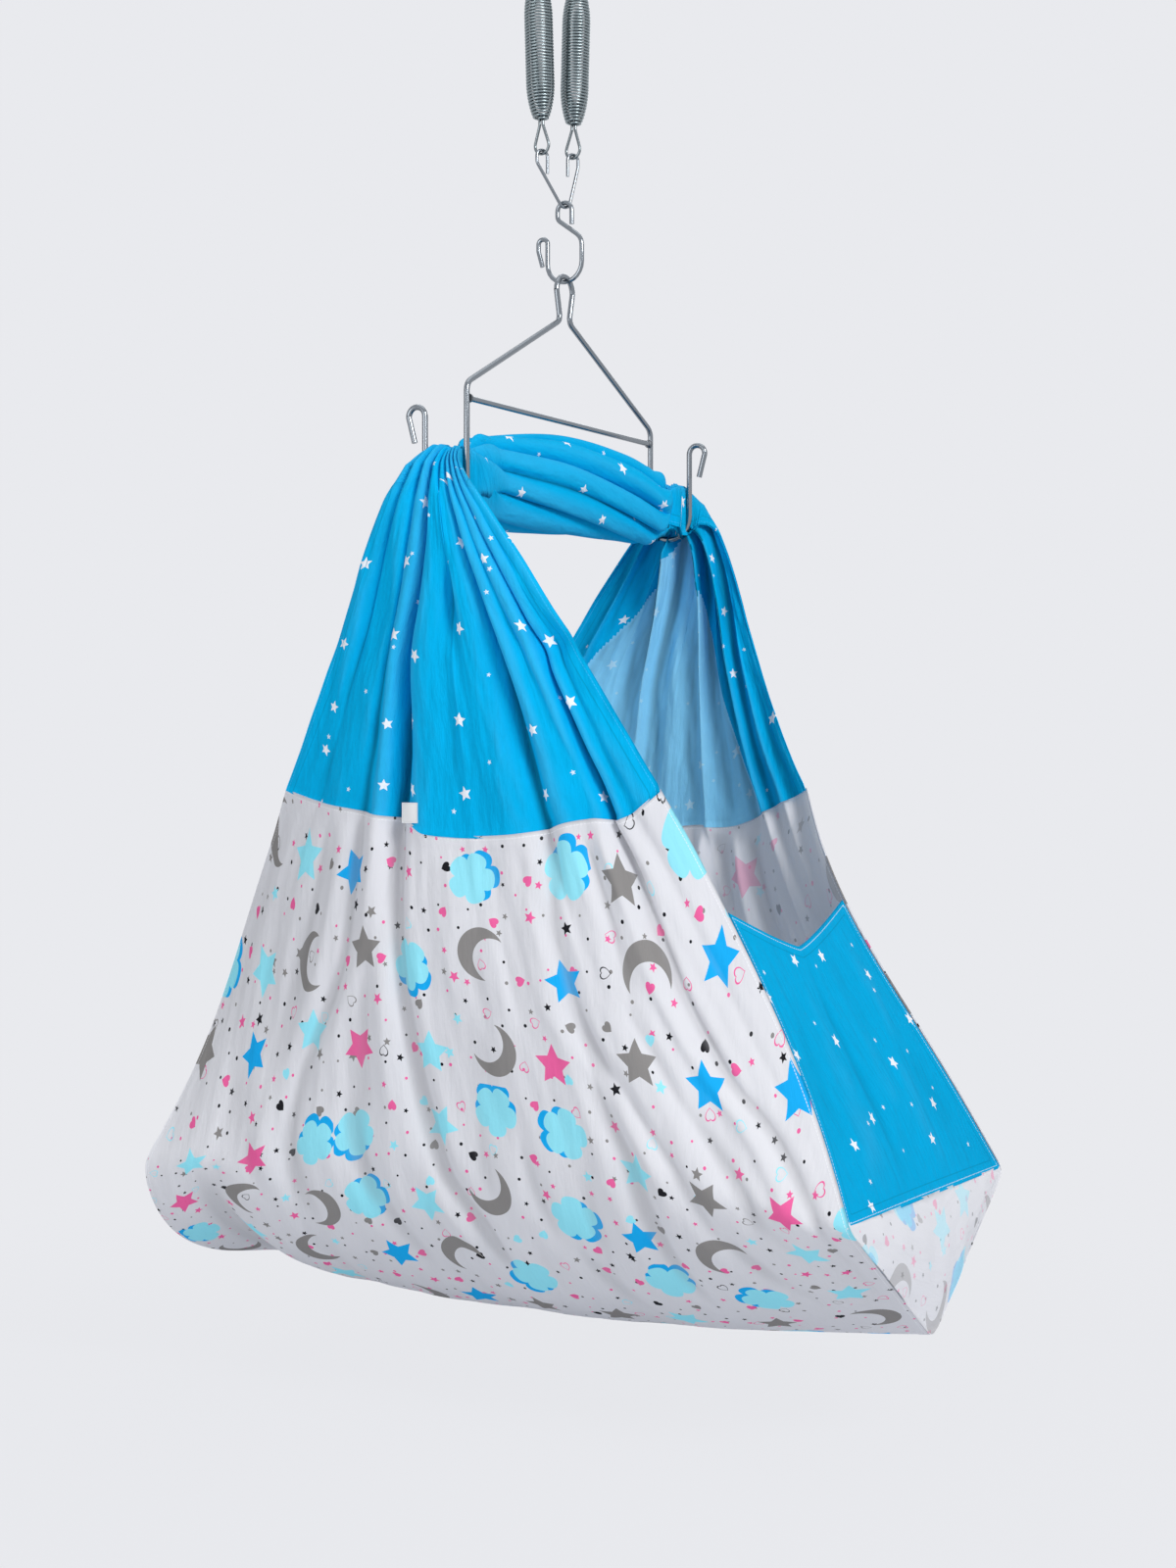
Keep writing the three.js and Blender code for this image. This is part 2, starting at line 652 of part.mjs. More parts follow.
// A sheet of even thickness about the grid, offset along the grid's own normals
function thickened(rows, thickness) {
  const normals = rows.map((row) => row.map(() => new THREE.Vector3()));
  for (let r = 0; r < rows.length - 1; r++)
    for (let c = 0; c < rows[0].length - 1; c++) {
      const [a, b, d] = [rows[r][c], rows[r + 1][c], rows[r][c + 1]];
      const e = rows[r + 1][c + 1];
      const normal = e.clone().sub(a).cross(d.clone().sub(b)).normalize();
      for (const [i, j] of [[r, c], [r + 1, c], [r, c + 1], [r + 1, c + 1]]) normals[i][j].add(normal);
    }
  const shifted = (share) =>
    rows.map((row, r) =>
      row.map((p, c) => p.clone().addScaledVector(normals[r][c].clone().normalize(), share * thickness)),
    );
  return solidBetween(shifted(1 / 2), shifted(-1 / 2));
}

function endPanel(end) {
  const rows = [];
  for (let r = 0; r <= panelRows; r++) {
    const row = [];
    for (let c = 0; c <= panelColumns; c++) {
      const s = (2 * c) / panelColumns - 1;
      const share = r / panelRows;
      const top = panelTop + panelSag * (1 - s * s);
      const drop = along(top, edgeDrop - cloth - fit, share);
      const g = (drop - seamDrop) / (edgeDrop - seamDrop);
      const reach = endReach(g) - cloth - panelFit;
      const front = end * seamShiftAt(-1, g) + endRun(-1, g);
      const rear = -end * seamShiftAt(1, g) + endRun(1, g);
      const run = along(front, rear, (s + 1) / 2) - panelInset;
      row.push(new THREE.Vector3(reach * s, end * run, seatZ - drop));
    }
    rows.push(row);
  }
  return thickened(rows, cloth);
}

function bridge() {
  const half = legX - throatOver - fit;
  const points = [];
  const faces = [];
  const rows = bridgeShares.length;
  const twist = THREE.MathUtils.degToRad(bridgeTwist);
  bridgeShares.forEach((share, r) => {
    const swell = swellShares[r];
    const high = along((bundleHalf + throatRise) / 2, bridgeHigh, swell);
    const wide = along(bundleHalf, bridgeWide, swell);
    const middle = along((throatRise - bundleHalf) / 2, bridgeLift, swell);
    const x = along(-half, half, share);
    const run = hookRadius * Math.cos(Math.PI * share);
    for (let k = 0; k < bridgeSides; k++) {
      const turn = (2 * Math.PI * k) / bridgeSides;
      const ripple = 1 + rippleShare * swell * Math.cos(bridgeRipples * (turn + twist * share));
      points.push(
        new THREE.Vector3(x, run + wide * ripple * Math.sin(turn), seatZ + middle + high * ripple * Math.cos(turn)),
      );
    }
  });
  for (let r = 0; r < rows - 1; r++)
    for (let k = 0; k < bridgeSides; k++) {
      const a = r * bridgeSides + k;
      const b = r * bridgeSides + ((k + 1) % bridgeSides);
      faces.push(a, b, b + bridgeSides, a, b + bridgeSides, a + bridgeSides);
    }
  const last = (rows - 1) * bridgeSides;
  for (let k = 1; k < bridgeSides - 1; k++) {
    faces.push(0, k + 1, k);
    faces.push(last, last + k, last + k + 1);
  }
  return closedGeometry(points, faces);
}

// Depth of the folds as the mesh has it, which is straight between its columns
function facetFold(s) {
  const place = ((s + 1) / 2) * wallColumns;
  const i = Math.min(Math.floor(place), wallColumns - 1);
  return along(fold(evenColumn(i)), fold(evenColumn(i + 1)), place - i);
}

// Reach of the front drape's outside near its seam, at a share of the fan's depth and a run along the bed
function frontOutside(share, run) {
  const last = fanShares.length - 1;
  const between = (share - fanShares[last - 1]) / (fanShares[last] - fanShares[last - 1]);
  const span = frontSpan * along(spanShares[last - 1], spanShares[last], between);
  const s = (run - along(hookRadius, frontShift, share)) / span;
  const depth = foldDeep * along(foldShares[last - 1], foldShares[last], between);
  return along(legX + drapeStand, along(seamMiddle, seamReach, s * s), share) + depth * facetFold(s) + cloth / 2;
}

// The label stands on the front drape with its bottom edge level with the seam.
function label() {
  const s = (labelPlace - frontShift) / frontSpan;
  const drop = seamDropAt(-1, s);
  let reach = 0;
  for (const side of [-1, 0, 1])
    for (const level of [0, 1])
      reach = Math.max(reach, frontOutside(1 - (level * labelHigh) / drop, labelPlace + (side * labelWide) / 2));
  const geometry = new THREE.BoxGeometry(labelThick, labelWide, labelHigh);
  geometry.translate(-(reach + fit - labelSink + labelThick / 2), labelPlace, seatZ - drop + labelHigh / 2);
  return geometry;
}

buildSprings();
buildYoke();
buildSHook();
buildHanger();
add("front_drape", drape(-1), blueCloth);
add("rear_drape", drape(1), blueCloth);
add("bridge", bridge(), blueCloth);
add("bed_cloth", bed(), whiteCloth);
add("near_end_panel", endPanel(-1), blueCloth);
add("far_end_panel", endPanel(1), blueCloth);
add("side_label", label(), labelCloth);

part.updateMatrixWorld(true);
console.log(`Least gap between the turns of a spring: ${leastCoilGap().toFixed(2)} mm`);

export default part;
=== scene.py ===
import math
from functools import partialmethod

import bpy
import numpy as np
from bpy.props import FloatProperty, FloatVectorProperty, IntProperty, PointerProperty
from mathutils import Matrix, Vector


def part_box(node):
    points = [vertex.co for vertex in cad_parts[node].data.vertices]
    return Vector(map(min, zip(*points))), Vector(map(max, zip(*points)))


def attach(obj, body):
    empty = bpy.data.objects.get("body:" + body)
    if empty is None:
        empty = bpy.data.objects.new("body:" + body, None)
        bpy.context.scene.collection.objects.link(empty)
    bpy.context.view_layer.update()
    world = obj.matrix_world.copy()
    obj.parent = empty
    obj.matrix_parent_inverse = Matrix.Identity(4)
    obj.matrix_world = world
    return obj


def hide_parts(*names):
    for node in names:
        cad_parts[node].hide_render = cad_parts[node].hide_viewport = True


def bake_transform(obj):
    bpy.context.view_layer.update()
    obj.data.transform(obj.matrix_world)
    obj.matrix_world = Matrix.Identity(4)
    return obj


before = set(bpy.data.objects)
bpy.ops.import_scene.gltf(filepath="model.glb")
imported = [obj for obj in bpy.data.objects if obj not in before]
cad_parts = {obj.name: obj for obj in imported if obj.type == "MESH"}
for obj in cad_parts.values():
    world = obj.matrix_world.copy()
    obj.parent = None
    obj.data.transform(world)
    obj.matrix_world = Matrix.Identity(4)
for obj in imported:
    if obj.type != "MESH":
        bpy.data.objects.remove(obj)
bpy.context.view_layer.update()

bl_info = {
    "name": "Hanging cradle",
    "version": (1, 0, 0),
    "blender": (4, 5, 0),
    "location": "3D View > Sidebar > Cradle",
    "description": "Builds a baby cradle hung by springs, with its cloth, wire and studio",
    "category": "Object",
}

# Places that the CAD's pieces share, in metres. Drops are below SEAT. Side -1 is the front and 1 the rear,
# end -1 the near one and 1 the far one.
SEAT = -0.57085  # height of the cloth hooks' centres
LEG = 0.190  # from the hanger's middle to each leg
HOOK = 0.0242  # radius of a cloth hook, and its centre's distance from the leg
INSIDE = 0.0110  # how far the gathered cloth runs inside the hooks' plane
SEAM_DROP, SEAM_SAG = 0.297, 0.047  # of the seam's ends, and of its middle below them
SEAM_MIDDLE, SEAM_END = 0.205, 0.164  # how far out the seam lies in the middle and at its ends
SEAM_SPAN = {-1: 0.216, 1: 0.194}  # half width of each side's seam
SEAM_SHIFT = {-1: 0.013, 1: 0.004}  # of the seam's middle along the cradle
PINCH = 0.136  # how far out the walls' ends lie at the panels' tops
BELLY = 0.214  # how far out the walls bulge
BED_REACH = 0.198  # how far out the bed's edges lie
BED_HALF = {-1: 0.407, 1: 0.395}  # from the middle to the bed's ends
EDGE_DROP, EDGE_LIFT = 0.690, 0.070  # of the bed's edge at its ends, and its middle's lift
KEEL_DROP = 0.839  # of the bed's middle
KEEL_RISE = {-1: 0.016, 1: 0.036}  # how far its ends lie above it
PANEL_DROP, PANEL_SAG = 0.414, 0.038  # of a panel's top corners, and of its V below them
# By side, for its wall's near and far end: how far it draws in half way down, and how far more at a quarter
# of the way and less at three quarters
END_BOW = {-1: (0.006, -0.017), 1: (-0.004, -0.017)}
END_WAVE = {-1: (0.002, -0.005), 1: (0.007, -0.005)}
FAR_ROUND = 0.85  # how much rounder the bed's far end is than its near end
SPRINGS = {  # the hook points of the eyes at the top and at the foot
    "left": ((-0.02867, 0.01655, -0.007), (-0.02347, 0.01355, -0.20341)),
    "right": ((0.01394, -0.00805, -0.007), (0.00875, -0.00505, -0.20341)),
}
EYE_DROP = 0.027  # from an eye's hook point to the coil
COIL_REACH, COIL_NECK, COIL_TAPER = 0.015, 0.0075, 0.038  # a coil's radius, its ends' radius and length
FLOOR = -1.50

# Tables of the gathered sheet, by place from inside the hook, at -0.12, to the seam, at 1: how far out it
# lies, the slope of its face in degrees, its lift, half width, depth of folds and roundness
PLACES = (-0.12, -0.05, 0.0, 0.08, 0.20, 0.37, 0.56, 0.78, 1.0)
REACHES = (0.179, 0.1925, 0.2041, 0.2122, 0.214, 0.214, 0.214, 0.214, 0.214)
TURNS = (90.0, 88.0, 54.0, 22.0, 2.0, 0.0, 0.0, 0.0, 0.0)
LIFTS = (0.0078, 0.0078, 0.004, 0.001, 0.0, 0.0, 0.0, 0.0, 0.0)
SPANS = (0.0205, 0.0205, 0.0335, 0.0570, 0.083, 0.1142, 0.1468, 0.1814, 0.216)
DEPTHS = (0.0300, 0.0300, 0.0200, 0.0155, 0.0140, 0.0130, 0.0118, 0.0105, 0.0085)
ROUNDS = (0.30, 0.30, 0.4, 0.4, 0.2, 0.0, 0.0, 0.0, 0.0)

# And of the bundle, by place from the front hook, at 0, to the rear one, at 1
BRIDGE_PLACES = (0.0, 0.08, 0.24, 0.48, 0.72, 0.88, 1.0)
BRIDGE_SWELLS = (0.40, 0.58, 0.84, 1.0, 0.90, 0.68, 0.45)
BRIDGE_LIFTS = (0.008, 0.009, 0.012, 0.016, 0.012, 0.006, 0.003)

# Valleys between the folds, numbered from the near edge: where they meet the front and the rear seam, how
# deep each is under the hooks, at the two seams and in the bundle, and where it crosses the hooks
VALLEYS = np.arange(10.0)
FRONT_VALLEYS = (-1.0, -0.89, -0.79, -0.66, -0.50, -0.14, 0.27, 0.47, 0.76, 1.0)
REAR_VALLEYS = (-1.0, -0.84, -0.70, -0.52, -0.30, -0.02, 0.24, 0.52, 0.80, 1.0)
HANG_DEEP = (0.2, 0.05, 0.9, 0.04, 1.1, 0.05, 1.9, 0.25, 0.45, 0.1)
FRONT_DEEP = (0.1, 0.20, 0.95, 0.12, 0.75, 0.08, 1.45, 0.45, 0.22, 0.1)
REAR_DEEP = (0.1, 0.4, 0.7, 0.2, 0.45, 0.15, 0.6, 0.25, 0.5, 0.1)
BRIDGE_DEEP = (0.3, 0.4, 0.8, 1.1, 1.4, 1.2, 0.8, 0.3, 0.9, 0.3)
HOOK_WAYS = (-1.0, -0.88, -0.76, -0.63, -0.47, -0.26, 0.02, 0.34, 0.70, 1.0)
LAP_FOLD, LAP_HALF, LAP = 5.62, 0.30, 0.040  # the front fold that laps over the next, half its width, how far

# How far the front seam dips, by place across it
SEAM_PLACES = (-1.0, -0.90, -0.83, -0.72, -0.6, -0.5, -0.2, 0.0, 0.1, 0.2, 0.3, 0.5, 0.72, 1.0)
SEAM_DIPS = (0.0, 0.011, 0.014, 0.005, 0.002, 0.003, 0.0, -0.003, -0.005, -0.013, -0.015, -0.014, -0.008, 0.0)

# Pockets between the front folds: places down and across, half length, half width and depth
POCKETS = (
    (0.33, -0.13, 0.11, 0.085, 0.014),
    (0.50, -0.88, 0.05, 0.13, 0.010),
    (0.90, -0.74, 0.11, 0.10, 0.008),
    (0.42, 0.62, 0.14, 0.10, 0.007),
)

# The rear cloth's edges turn in and show their outside: the bounds of what shows its reverse
TURN_PLACES = (0.0, 0.2, 0.5, 1.0)
TURN_NEAR = (-0.02, -0.28, -0.50, -0.71)
TURN_FAR = (0.02, 0.40, 0.76, 0.86)

# Folds of the bed: depth, half width, lap, places down the wall and on under the bed, and places across it
BED_FOLDS = (
    (0.0060, 0.050, 0.3, (0.0, 0.48, 0.92, 1.2), (1.0, 0.93, 0.76, 0.70)),
    (0.0045, 0.040, 0.2, (0.0, 0.35, 0.70), (0.66, 0.62, 0.66)),
    (0.0085, 0.040, 0.5, (0.0, 0.40, 0.81, 1.04, 1.4), (0.47, 0.42, 0.53, 0.54, 0.50)),
    (0.0120, 0.036, 0.8, (0.0, 0.48, 1.12, 1.30, 1.6), (0.27, 0.20, 0.09, 0.01, -0.10)),
    (0.0070, 0.034, 0.4, (0.0, 0.33, 0.80, 1.12, 1.38, 1.7), (-0.50, -0.42, -0.42, -0.47, -0.53, -0.60)),
    (0.0035, 0.045, 0.2, (0.10, 0.45, 0.80), (-0.16, -0.12, -0.17)),
    (0.0050, 0.026, 0.4, (0.0, 0.30, 0.60), (-0.66, -0.63, -0.60)),
    (0.0110, 0.026, 0.8, (0.0, 0.40, 0.66, 0.84, 1.16, 1.7), (-0.79, -0.76, -0.80, -0.88, -0.93, -0.97)),
    (0.0055, 0.018, 0.6, (0.0, 0.33, 0.63, 0.90), (-0.89, -0.90, -0.92, -0.955)),
    (0.0060, 0.030, 0.6, (0.50, 0.80, 1.10, 1.45, 1.75), (-0.38, -0.50, -0.62, -0.78, -0.90)),
    (0.0055, 0.030, 0.5, (0.42, 0.70, 1.00, 1.35, 1.70), (-0.56, -0.63, -0.74, -0.88, -0.96)),
    (0.0055, 0.034, 0.5, (0.85, 1.05, 1.35, 1.65), (0.36, 0.34, 0.24, 0.12)),
    (0.0050, 0.030, 0.5, (0.90, 1.15, 1.45, 1.75), (0.20, 0.16, 0.04, -0.10)),
    (0.0045, 0.030, 0.4, (0.95, 1.15, 1.45, 1.75), (-0.14, -0.18, -0.30, -0.44)),
    (0.0055, 0.034, 0.5, (0.80, 1.05, 1.35), (0.72, 0.66, 0.60)),
)

# Cloth and thread, in metres
HEM_WIDE, HEM_STEP = 0.0115, 0.0015  # a hem's width, and the slope beside it
THREAD_HALF = 0.00036
THREAD_PITCH = 0.00055  # from thread to thread of the weave
VALLEY_DEEP = 0.007  # height from a full crest to a full valley
LABEL_THICK = 0.0007

# Colours
BACKDROP = (0.8148, 0.8228, 0.8550)
STAR_INK = (0.90, 0.94, 1.0)
PINK, BLUE, CYAN = (0.90, 0.14, 0.38), (0.01, 0.43, 0.91), (0.32, 0.84, 0.98)
GREY, BLACK = (0.275, 0.265, 0.26), (0.014, 0.014, 0.018)


def metres(name, description, default):
    return FloatProperty(name=name, description=description, default=default, unit="LENGTH")


def tint(name, description, default):
    return FloatVectorProperty(name=name, description=description, default=default, subtype="COLOR")


class Settings(bpy.types.PropertyGroup):
    fold_depth: FloatProperty(name="Fold depth", description="Share of the folds' drawn depth", default=1.0)
    bundle_high: metres("Bundle half height", "Of the gathered cloth between the hooks", 0.050)
    bundle_wide: metres("Bundle half width", "Of the gathered cloth between the hooks", 0.034)
    bundle_turn: FloatProperty(
        name="Bundle turn", description="How far the folds wind about the bundle from hook to hook",
        default=math.radians(95), subtype="ANGLE",
    )
    cloth_thick: metres("Cloth thickness", "Of the cotton", 0.0008)
    wrinkle: metres("Wrinkles", "Height of the soft wrinkles in the bed", 0.0032)
    spring_wire: metres("Spring wire", "Thickness of the springs' wire", 0.0026)
    spring_turns: IntProperty(name="Spring turns", description="Turns in each spring", default=45)
    blue: tint("Blue", "Dyed cloth, outside", (0.0, 0.44, 0.82))
    pale: tint("Pale blue", "Dyed cloth, reverse", (0.26, 0.67, 0.96))
    white: tint("White", "Printed cloth's ground", (0.755, 0.760, 0.800))
    lens: FloatProperty(name="Lens", description="Of the camera, in millimetres", default=55.6)


def clamp(x):
    """Held between 0 and 1."""
    return np.clip(x, 0.0, 1.0)


def mix(a, b, share):
    """From a, where share is 0, to b, where it is 1."""
    return a + (b - a) * share


def ease(x, low, high):
    """Rises softly from 0 to 1 as x goes from low to high."""
    t = clamp((x - low) / (high - low))
    return t * t * (3 - 2 * t)


def bell(x):
    """1 at 0, and little past 2 on either side."""
    return np.exp(-(x**2))


def reading(x, places, values):
    """A smooth curve through the table, without overshoot."""
    p, v = np.array(places, float), np.array(values, float)
    step = np.diff(p)
    rise = np.diff(v) / step
    slope = np.zeros(len(p))
    for i in range(1, len(p) - 1):
        if rise[i - 1] * rise[i] > 0:
            slope[i] = 2 * rise[i - 1] * rise[i] / (rise[i - 1] + rise[i])
    slope[0], slope[-1] = rise[0], rise[-1]
    x = np.clip(x, p[0], p[-1])
    i = np.clip(np.searchsorted(p, x, side="right") - 1, 0, len(p) - 2)
    t = (x - p[i]) / step[i]
    a = (1 + 2 * t) * (1 - t) ** 2 * v[i] + t * (1 - t) ** 2 * step[i] * slope[i]
    b = t * t * (3 - 2 * t) * v[i + 1] - t * t * (1 - t) * step[i] * slope[i + 1]
    return a + b


def ripple(x, y, seed):
    """Soft, repeatable unevenness between about -1 and 1."""
    total = 0.0
    for i in range(7):
        a = 2.399 * i + seed
        way = x * math.cos(a) + y * math.sin(a)
        total += np.sin((0.8 + 0.45 * i) * way * 2 + 1.7 * a * a) / (1 + 0.35 * i)
    return total / 2.4


# Meshes


def grid_normals(points):
    """Unit normals of a grid of points."""
    down = np.gradient(points, axis=0)
    across = np.gradient(points, axis=1)
    normals = np.cross(down, across)
    length = np.linalg.norm(normals, axis=2, keepdims=True)
    return normals / np.maximum(length, 1e-12)


def run_along(points, axis):
    """Length along the grid's rows or columns."""
    steps = np.linalg.norm(np.diff(points, axis=axis), axis=2)
    pad = [(0, 0), (0, 0)]
    pad[axis] = (1, 0)
    return np.cumsum(np.pad(steps, pad), axis=axis)


def soften(points, width, axis=0):
    """Rounds the grid's creases along one axis, and keeps its rims."""
    reach = int(3 * width)
    weights = np.exp(-0.5 * (np.arange(-reach, reach + 1) / width) ** 2)
    weights /= weights.sum()
    pad = [(0, 0)] * 3
    pad[axis] = (reach, reach)
    wide = np.pad(points, pad, mode="reflect", reflect_type="odd")
    return np.apply_along_axis(lambda line: np.convolve(line, weights, mode="valid"), axis, wide)


# This depth sets the painted shade in fold valleys and the painted highlight on crests.
def hollow(points, normals):
    """How deep each point lies between the folds beside it: 0.5 on an even slope, 1 in a deep valley."""
    off = np.sum((points - soften(points, 9.0, axis=1)) * normals, axis=2)
    return clamp(0.5 - off / VALLEY_DEEP)


def make_mesh(name, points, faces, maps=None, slots=None, materials=()):
    """An object of four-sided faces, with UV maps given by point and material slots by face."""
    mesh = bpy.data.meshes.new(name)
    faces = np.asarray(faces, np.int32)
    count = len(faces)
    mesh.vertices.add(len(points))
    mesh.vertices.foreach_set("co", np.asarray(points, np.float32).ravel())
    mesh.loops.add(count * 4)
    mesh.loops.foreach_set("vertex_index", faces.ravel())
    mesh.polygons.add(count)
    mesh.polygons.foreach_set("loop_start", np.arange(0, count * 4, 4, dtype=np.int32))
    for label, values in (maps or {}).items():
        layer = mesh.uv_layers.new(name=label)
        layer.data.foreach_set("uv", np.asarray(values, np.float32)[faces.ravel()].ravel())
    for material in materials:
        mesh.materials.append(material)
    if slots is not None:
        mesh.polygons.foreach_set("material_index", np.asarray(slots, np.int32))
    mesh.update(calc_edges=True)
    mesh.validate()
    mesh.polygons.foreach_set("use_smooth", np.ones(len(mesh.polygons), bool))
    obj = bpy.data.objects.new(name, mesh)
    bpy.context.scene.collection.objects.link(obj)
    return obj


def make_sheet(
    name, points, thick, materials, flip=False, hem=None, proud=0.0, strip=None, inner=0, cut=None
):
    """A sheet of cloth with two skins and a rim from one grid of points.

    flip turns the outside to the grid's other side. hem is each point's distance from the nearest sewn edge
    and its place along it, and proud how much thicker the hems are. inner is the inner skin's material slot,
    and strip marks its faces that show the outside. cut is each point's place in the flat cloth, where the
    grid's rows don't run along it.
    """
    rows, columns = points.shape[:2]
    normals = grid_normals(points)
    if flip:
        normals = -normals
    half = np.full((rows, columns), thick / 2)
    if hem is not None:
        half += proud * (1 - ease(hem[..., 0], HEM_WIDE, HEM_WIDE + HEM_STEP))
    outer = points + normals * half[..., None]
    inside = points - normals * half[..., None]
    number = np.arange(rows * columns).reshape(rows, columns)
    a, b = number[:-1, :-1].ravel(), number[1:, :-1].ravel()
    c, d = number[1:, 1:].ravel(), number[:-1, 1:].ravel()
    front = np.stack([a, d, c, b] if flip else [a, b, c, d], axis=1)
    shift = rows * columns
    back = front[:, ::-1] + shift
    rim = np.concatenate([number[0], number[1:, -1], number[-1, -2::-1], number[-2:0:-1, 0]])
    after = np.roll(rim, -1)
    side = np.stack([after, rim, rim + shift, after + shift], axis=1)
    if flip:
        side = side[:, ::-1]
    u = run_along(points, 1)
    u = u - u[:, columns // 2][:, None]
    v = run_along(points, 0)
    v = np.broadcast_to(v[:, columns // 2][:, None], u.shape)
    flat = (np.stack([u, v], axis=2) if cut is None else cut).reshape(-1, 2)
    edge = (hem if hem is not None else np.full((rows, columns, 2), 1.0)).reshape(-1, 2)
    maps = {"print": np.concatenate([flat, flat]), "hem": np.concatenate([edge, edge])}
    # The fold map holds each point's depth between folds, and its opposite on the inner skin, for the painted
    # shade and highlight.
    deep = hollow(points, normals).reshape(-1, 1)
    maps["fold"] = np.concatenate([np.tile(deep, 2), np.tile(1 - deep, 2)])
    marks = np.full(len(back), inner)
    if strip is not None:
        marks[strip[:-1, :-1].ravel()] = 0
    slots = np.concatenate([np.zeros(len(front)), marks, np.zeros(len(side))])
    verts = np.concatenate([outer.reshape(-1, 3), inside.reshape(-1, 3)])
    return make_mesh(name, verts, np.concatenate([front, back, side]), maps, slots, materials)


def tube(name, line, radius, sides, material):
    """A round wire along a line of points."""
    ahead = np.gradient(line, axis=0)
    ahead /= np.linalg.norm(ahead, axis=1, keepdims=True)
    side = np.cross(ahead, (0.0, 0.0, 1.0))
    side /= np.linalg.norm(side, axis=1, keepdims=True)
    up = np.cross(side, ahead)
    turn = np.linspace(0, 2 * math.pi, sides, endpoint=False)
    ring = side[:, None] * np.cos(turn)[None, :, None] + up[:, None] * np.sin(turn)[None, :, None]
    points = (line[:, None] + ring * radius).reshape(-1, 3)
    number = np.arange(len(line) * sides).reshape(len(line), sides)
    after = np.roll(number, -1, axis=1)
    faces = np.stack([number[:-1].ravel(), after[:-1].ravel(), after[1:].ravel(), number[1:].ravel()], axis=1)
    caps = []
    for row, way in ((number[0], 1), (number[-1], -1)):
        for k in range(0, sides - 2, 2):
            caps.append([row[0], row[k + 1], row[k + 2], row[(k + 3) % sides]][::-way])
    return make_mesh(name, points, np.concatenate([faces, caps]), materials=(material,))


# Materials


class Socket:
    """A node's output, to be reckoned with like a number, a colour or a vector."""

    def __init__(self, shader, link):
        self.shader = shader
        self.link = link

    def calc(self, operation, *others):
        kind = "VectorMath" if self.link.type == "VECTOR" else "Math"
        return self.shader.node(kind, dict(enumerate((self, *others))), operation=operation)

    __add__ = partialmethod(calc, "ADD")
    __sub__ = partialmethod(calc, "SUBTRACT")
    __mul__ = partialmethod(calc, "MULTIPLY")
    __truediv__ = partialmethod(calc, "DIVIDE")
    __lt__ = partialmethod(calc, "LESS_THAN")
    __gt__ = partialmethod(calc, "GREATER_THAN")
    __abs__ = partialmethod(calc, "ABSOLUTE")

    def __rsub__(self, other):
        return self.shader.node("Math", {0: other, 1: self}, operation="SUBTRACT")

    def reach(self, other):
        """The distance that is this far along x and that far along y."""
        return (self * self + other * other).calc("SQRT")

    def blend(self, other, share):
        """This colour, and the other one where share is 1."""
        return self.shader.mixed("MIX", share, self, other)


class Tree:
    """A node tree, for a material or for the world."""

    def __init__(self, tree):
        self.tree = tree

    def node(self, kind, sockets=None, output=0, **settings):
        """Adds a node with these inputs and settings, and gives one of its outputs."""
        made = self.tree.nodes.new(f"ShaderNode{kind}")
        for key, value in settings.items():
            setattr(made, key, value)
        for key, value in (sockets or {}).items():
            self.join(made.inputs[key], value)
        return Socket(self, made.outputs[output])

    def join(self, target, value):
        if isinstance(value, Socket):
            self.tree.links.new(value.link, target)
        elif target.type == "RGBA" and len(value) == 3:
            target.default_value = (*value, 1.0)
        else:
            target.default_value = value

    def mixed(self, way, share, one, other):
        return self.node("Mix", {0: share, 6: one, 7: other}, 2, data_type="RGBA", blend_type=way)

    def sight(self):
        """1 for the rays that show the background: the camera's, mirrored ones and those through glass."""
        camera, glossy, through = (
            self.node("LightPath", output=f"Is {kind} Ray") for kind in ("Camera", "Glossy", "Transmission")
        )
        return camera.calc("MAXIMUM", glossy).calc("MAXIMUM", through)


class Shader(Tree):
    """A material, whose nodes feed its one surface."""

    def __init__(self, name):
        self.material = bpy.data.materials.new(name)
        self.material.use_nodes = True
        super().__init__(self.material.node_tree)
        self.surface = self.tree.nodes["Principled BSDF"]

    def set(self, **sockets):
        """Sets the surface's inputs, named with underscores."""
        for key, value in sockets.items():
            self.join(self.surface.inputs[key.replace("_", " ")], value)

    def split(self, vector):
        """The vector's x and y."""
        parts = self.node("SeparateXYZ", {0: vector})
        return parts, Socket(self, parts.link.node.outputs[1])

    def uv(self, name):
        return self.split(self.node("UVMap", uv_map=name))

    def triple(self, kind, x, y, z=0.0):
        """Combines three numbers to a vector, kind XYZ, or a colour, kind Color."""
        return self.node(f"Combine{kind}", {0: x, 1: y, 2: z})

    def bump(self, height, strength, distance, **more):
        return self.node("Bump", {"Height": height, "Strength": strength, "Distance": distance, **more})

    def toned(self, ground, tone):
        """The ground colour times a tone."""
        return self.mixed("MULTIPLY", 1.0, ground, self.triple("Color", tone, tone, tone))

    def place(self):
        return self.node("TexCoord", output="Object")

    def noise(self, scale, detail=3.0, vector=None, rough=0.5):
        sockets = {"Vector": vector or self.place(), "Scale": scale, "Detail": detail, "Roughness": rough}
        return self.node("TexNoise", sockets)

    def above(self, value, low, high):
        """Rises from 0 to 1 as the value goes from low to high."""
        return self.node("MapRange", {0: value, 1: low, 2: high}, interpolation_type="SMOOTHSTEP")

    def colour(self, value):
        made = self.node("RGB")
        made.link.default_value = (*value, 1.0)
        return made


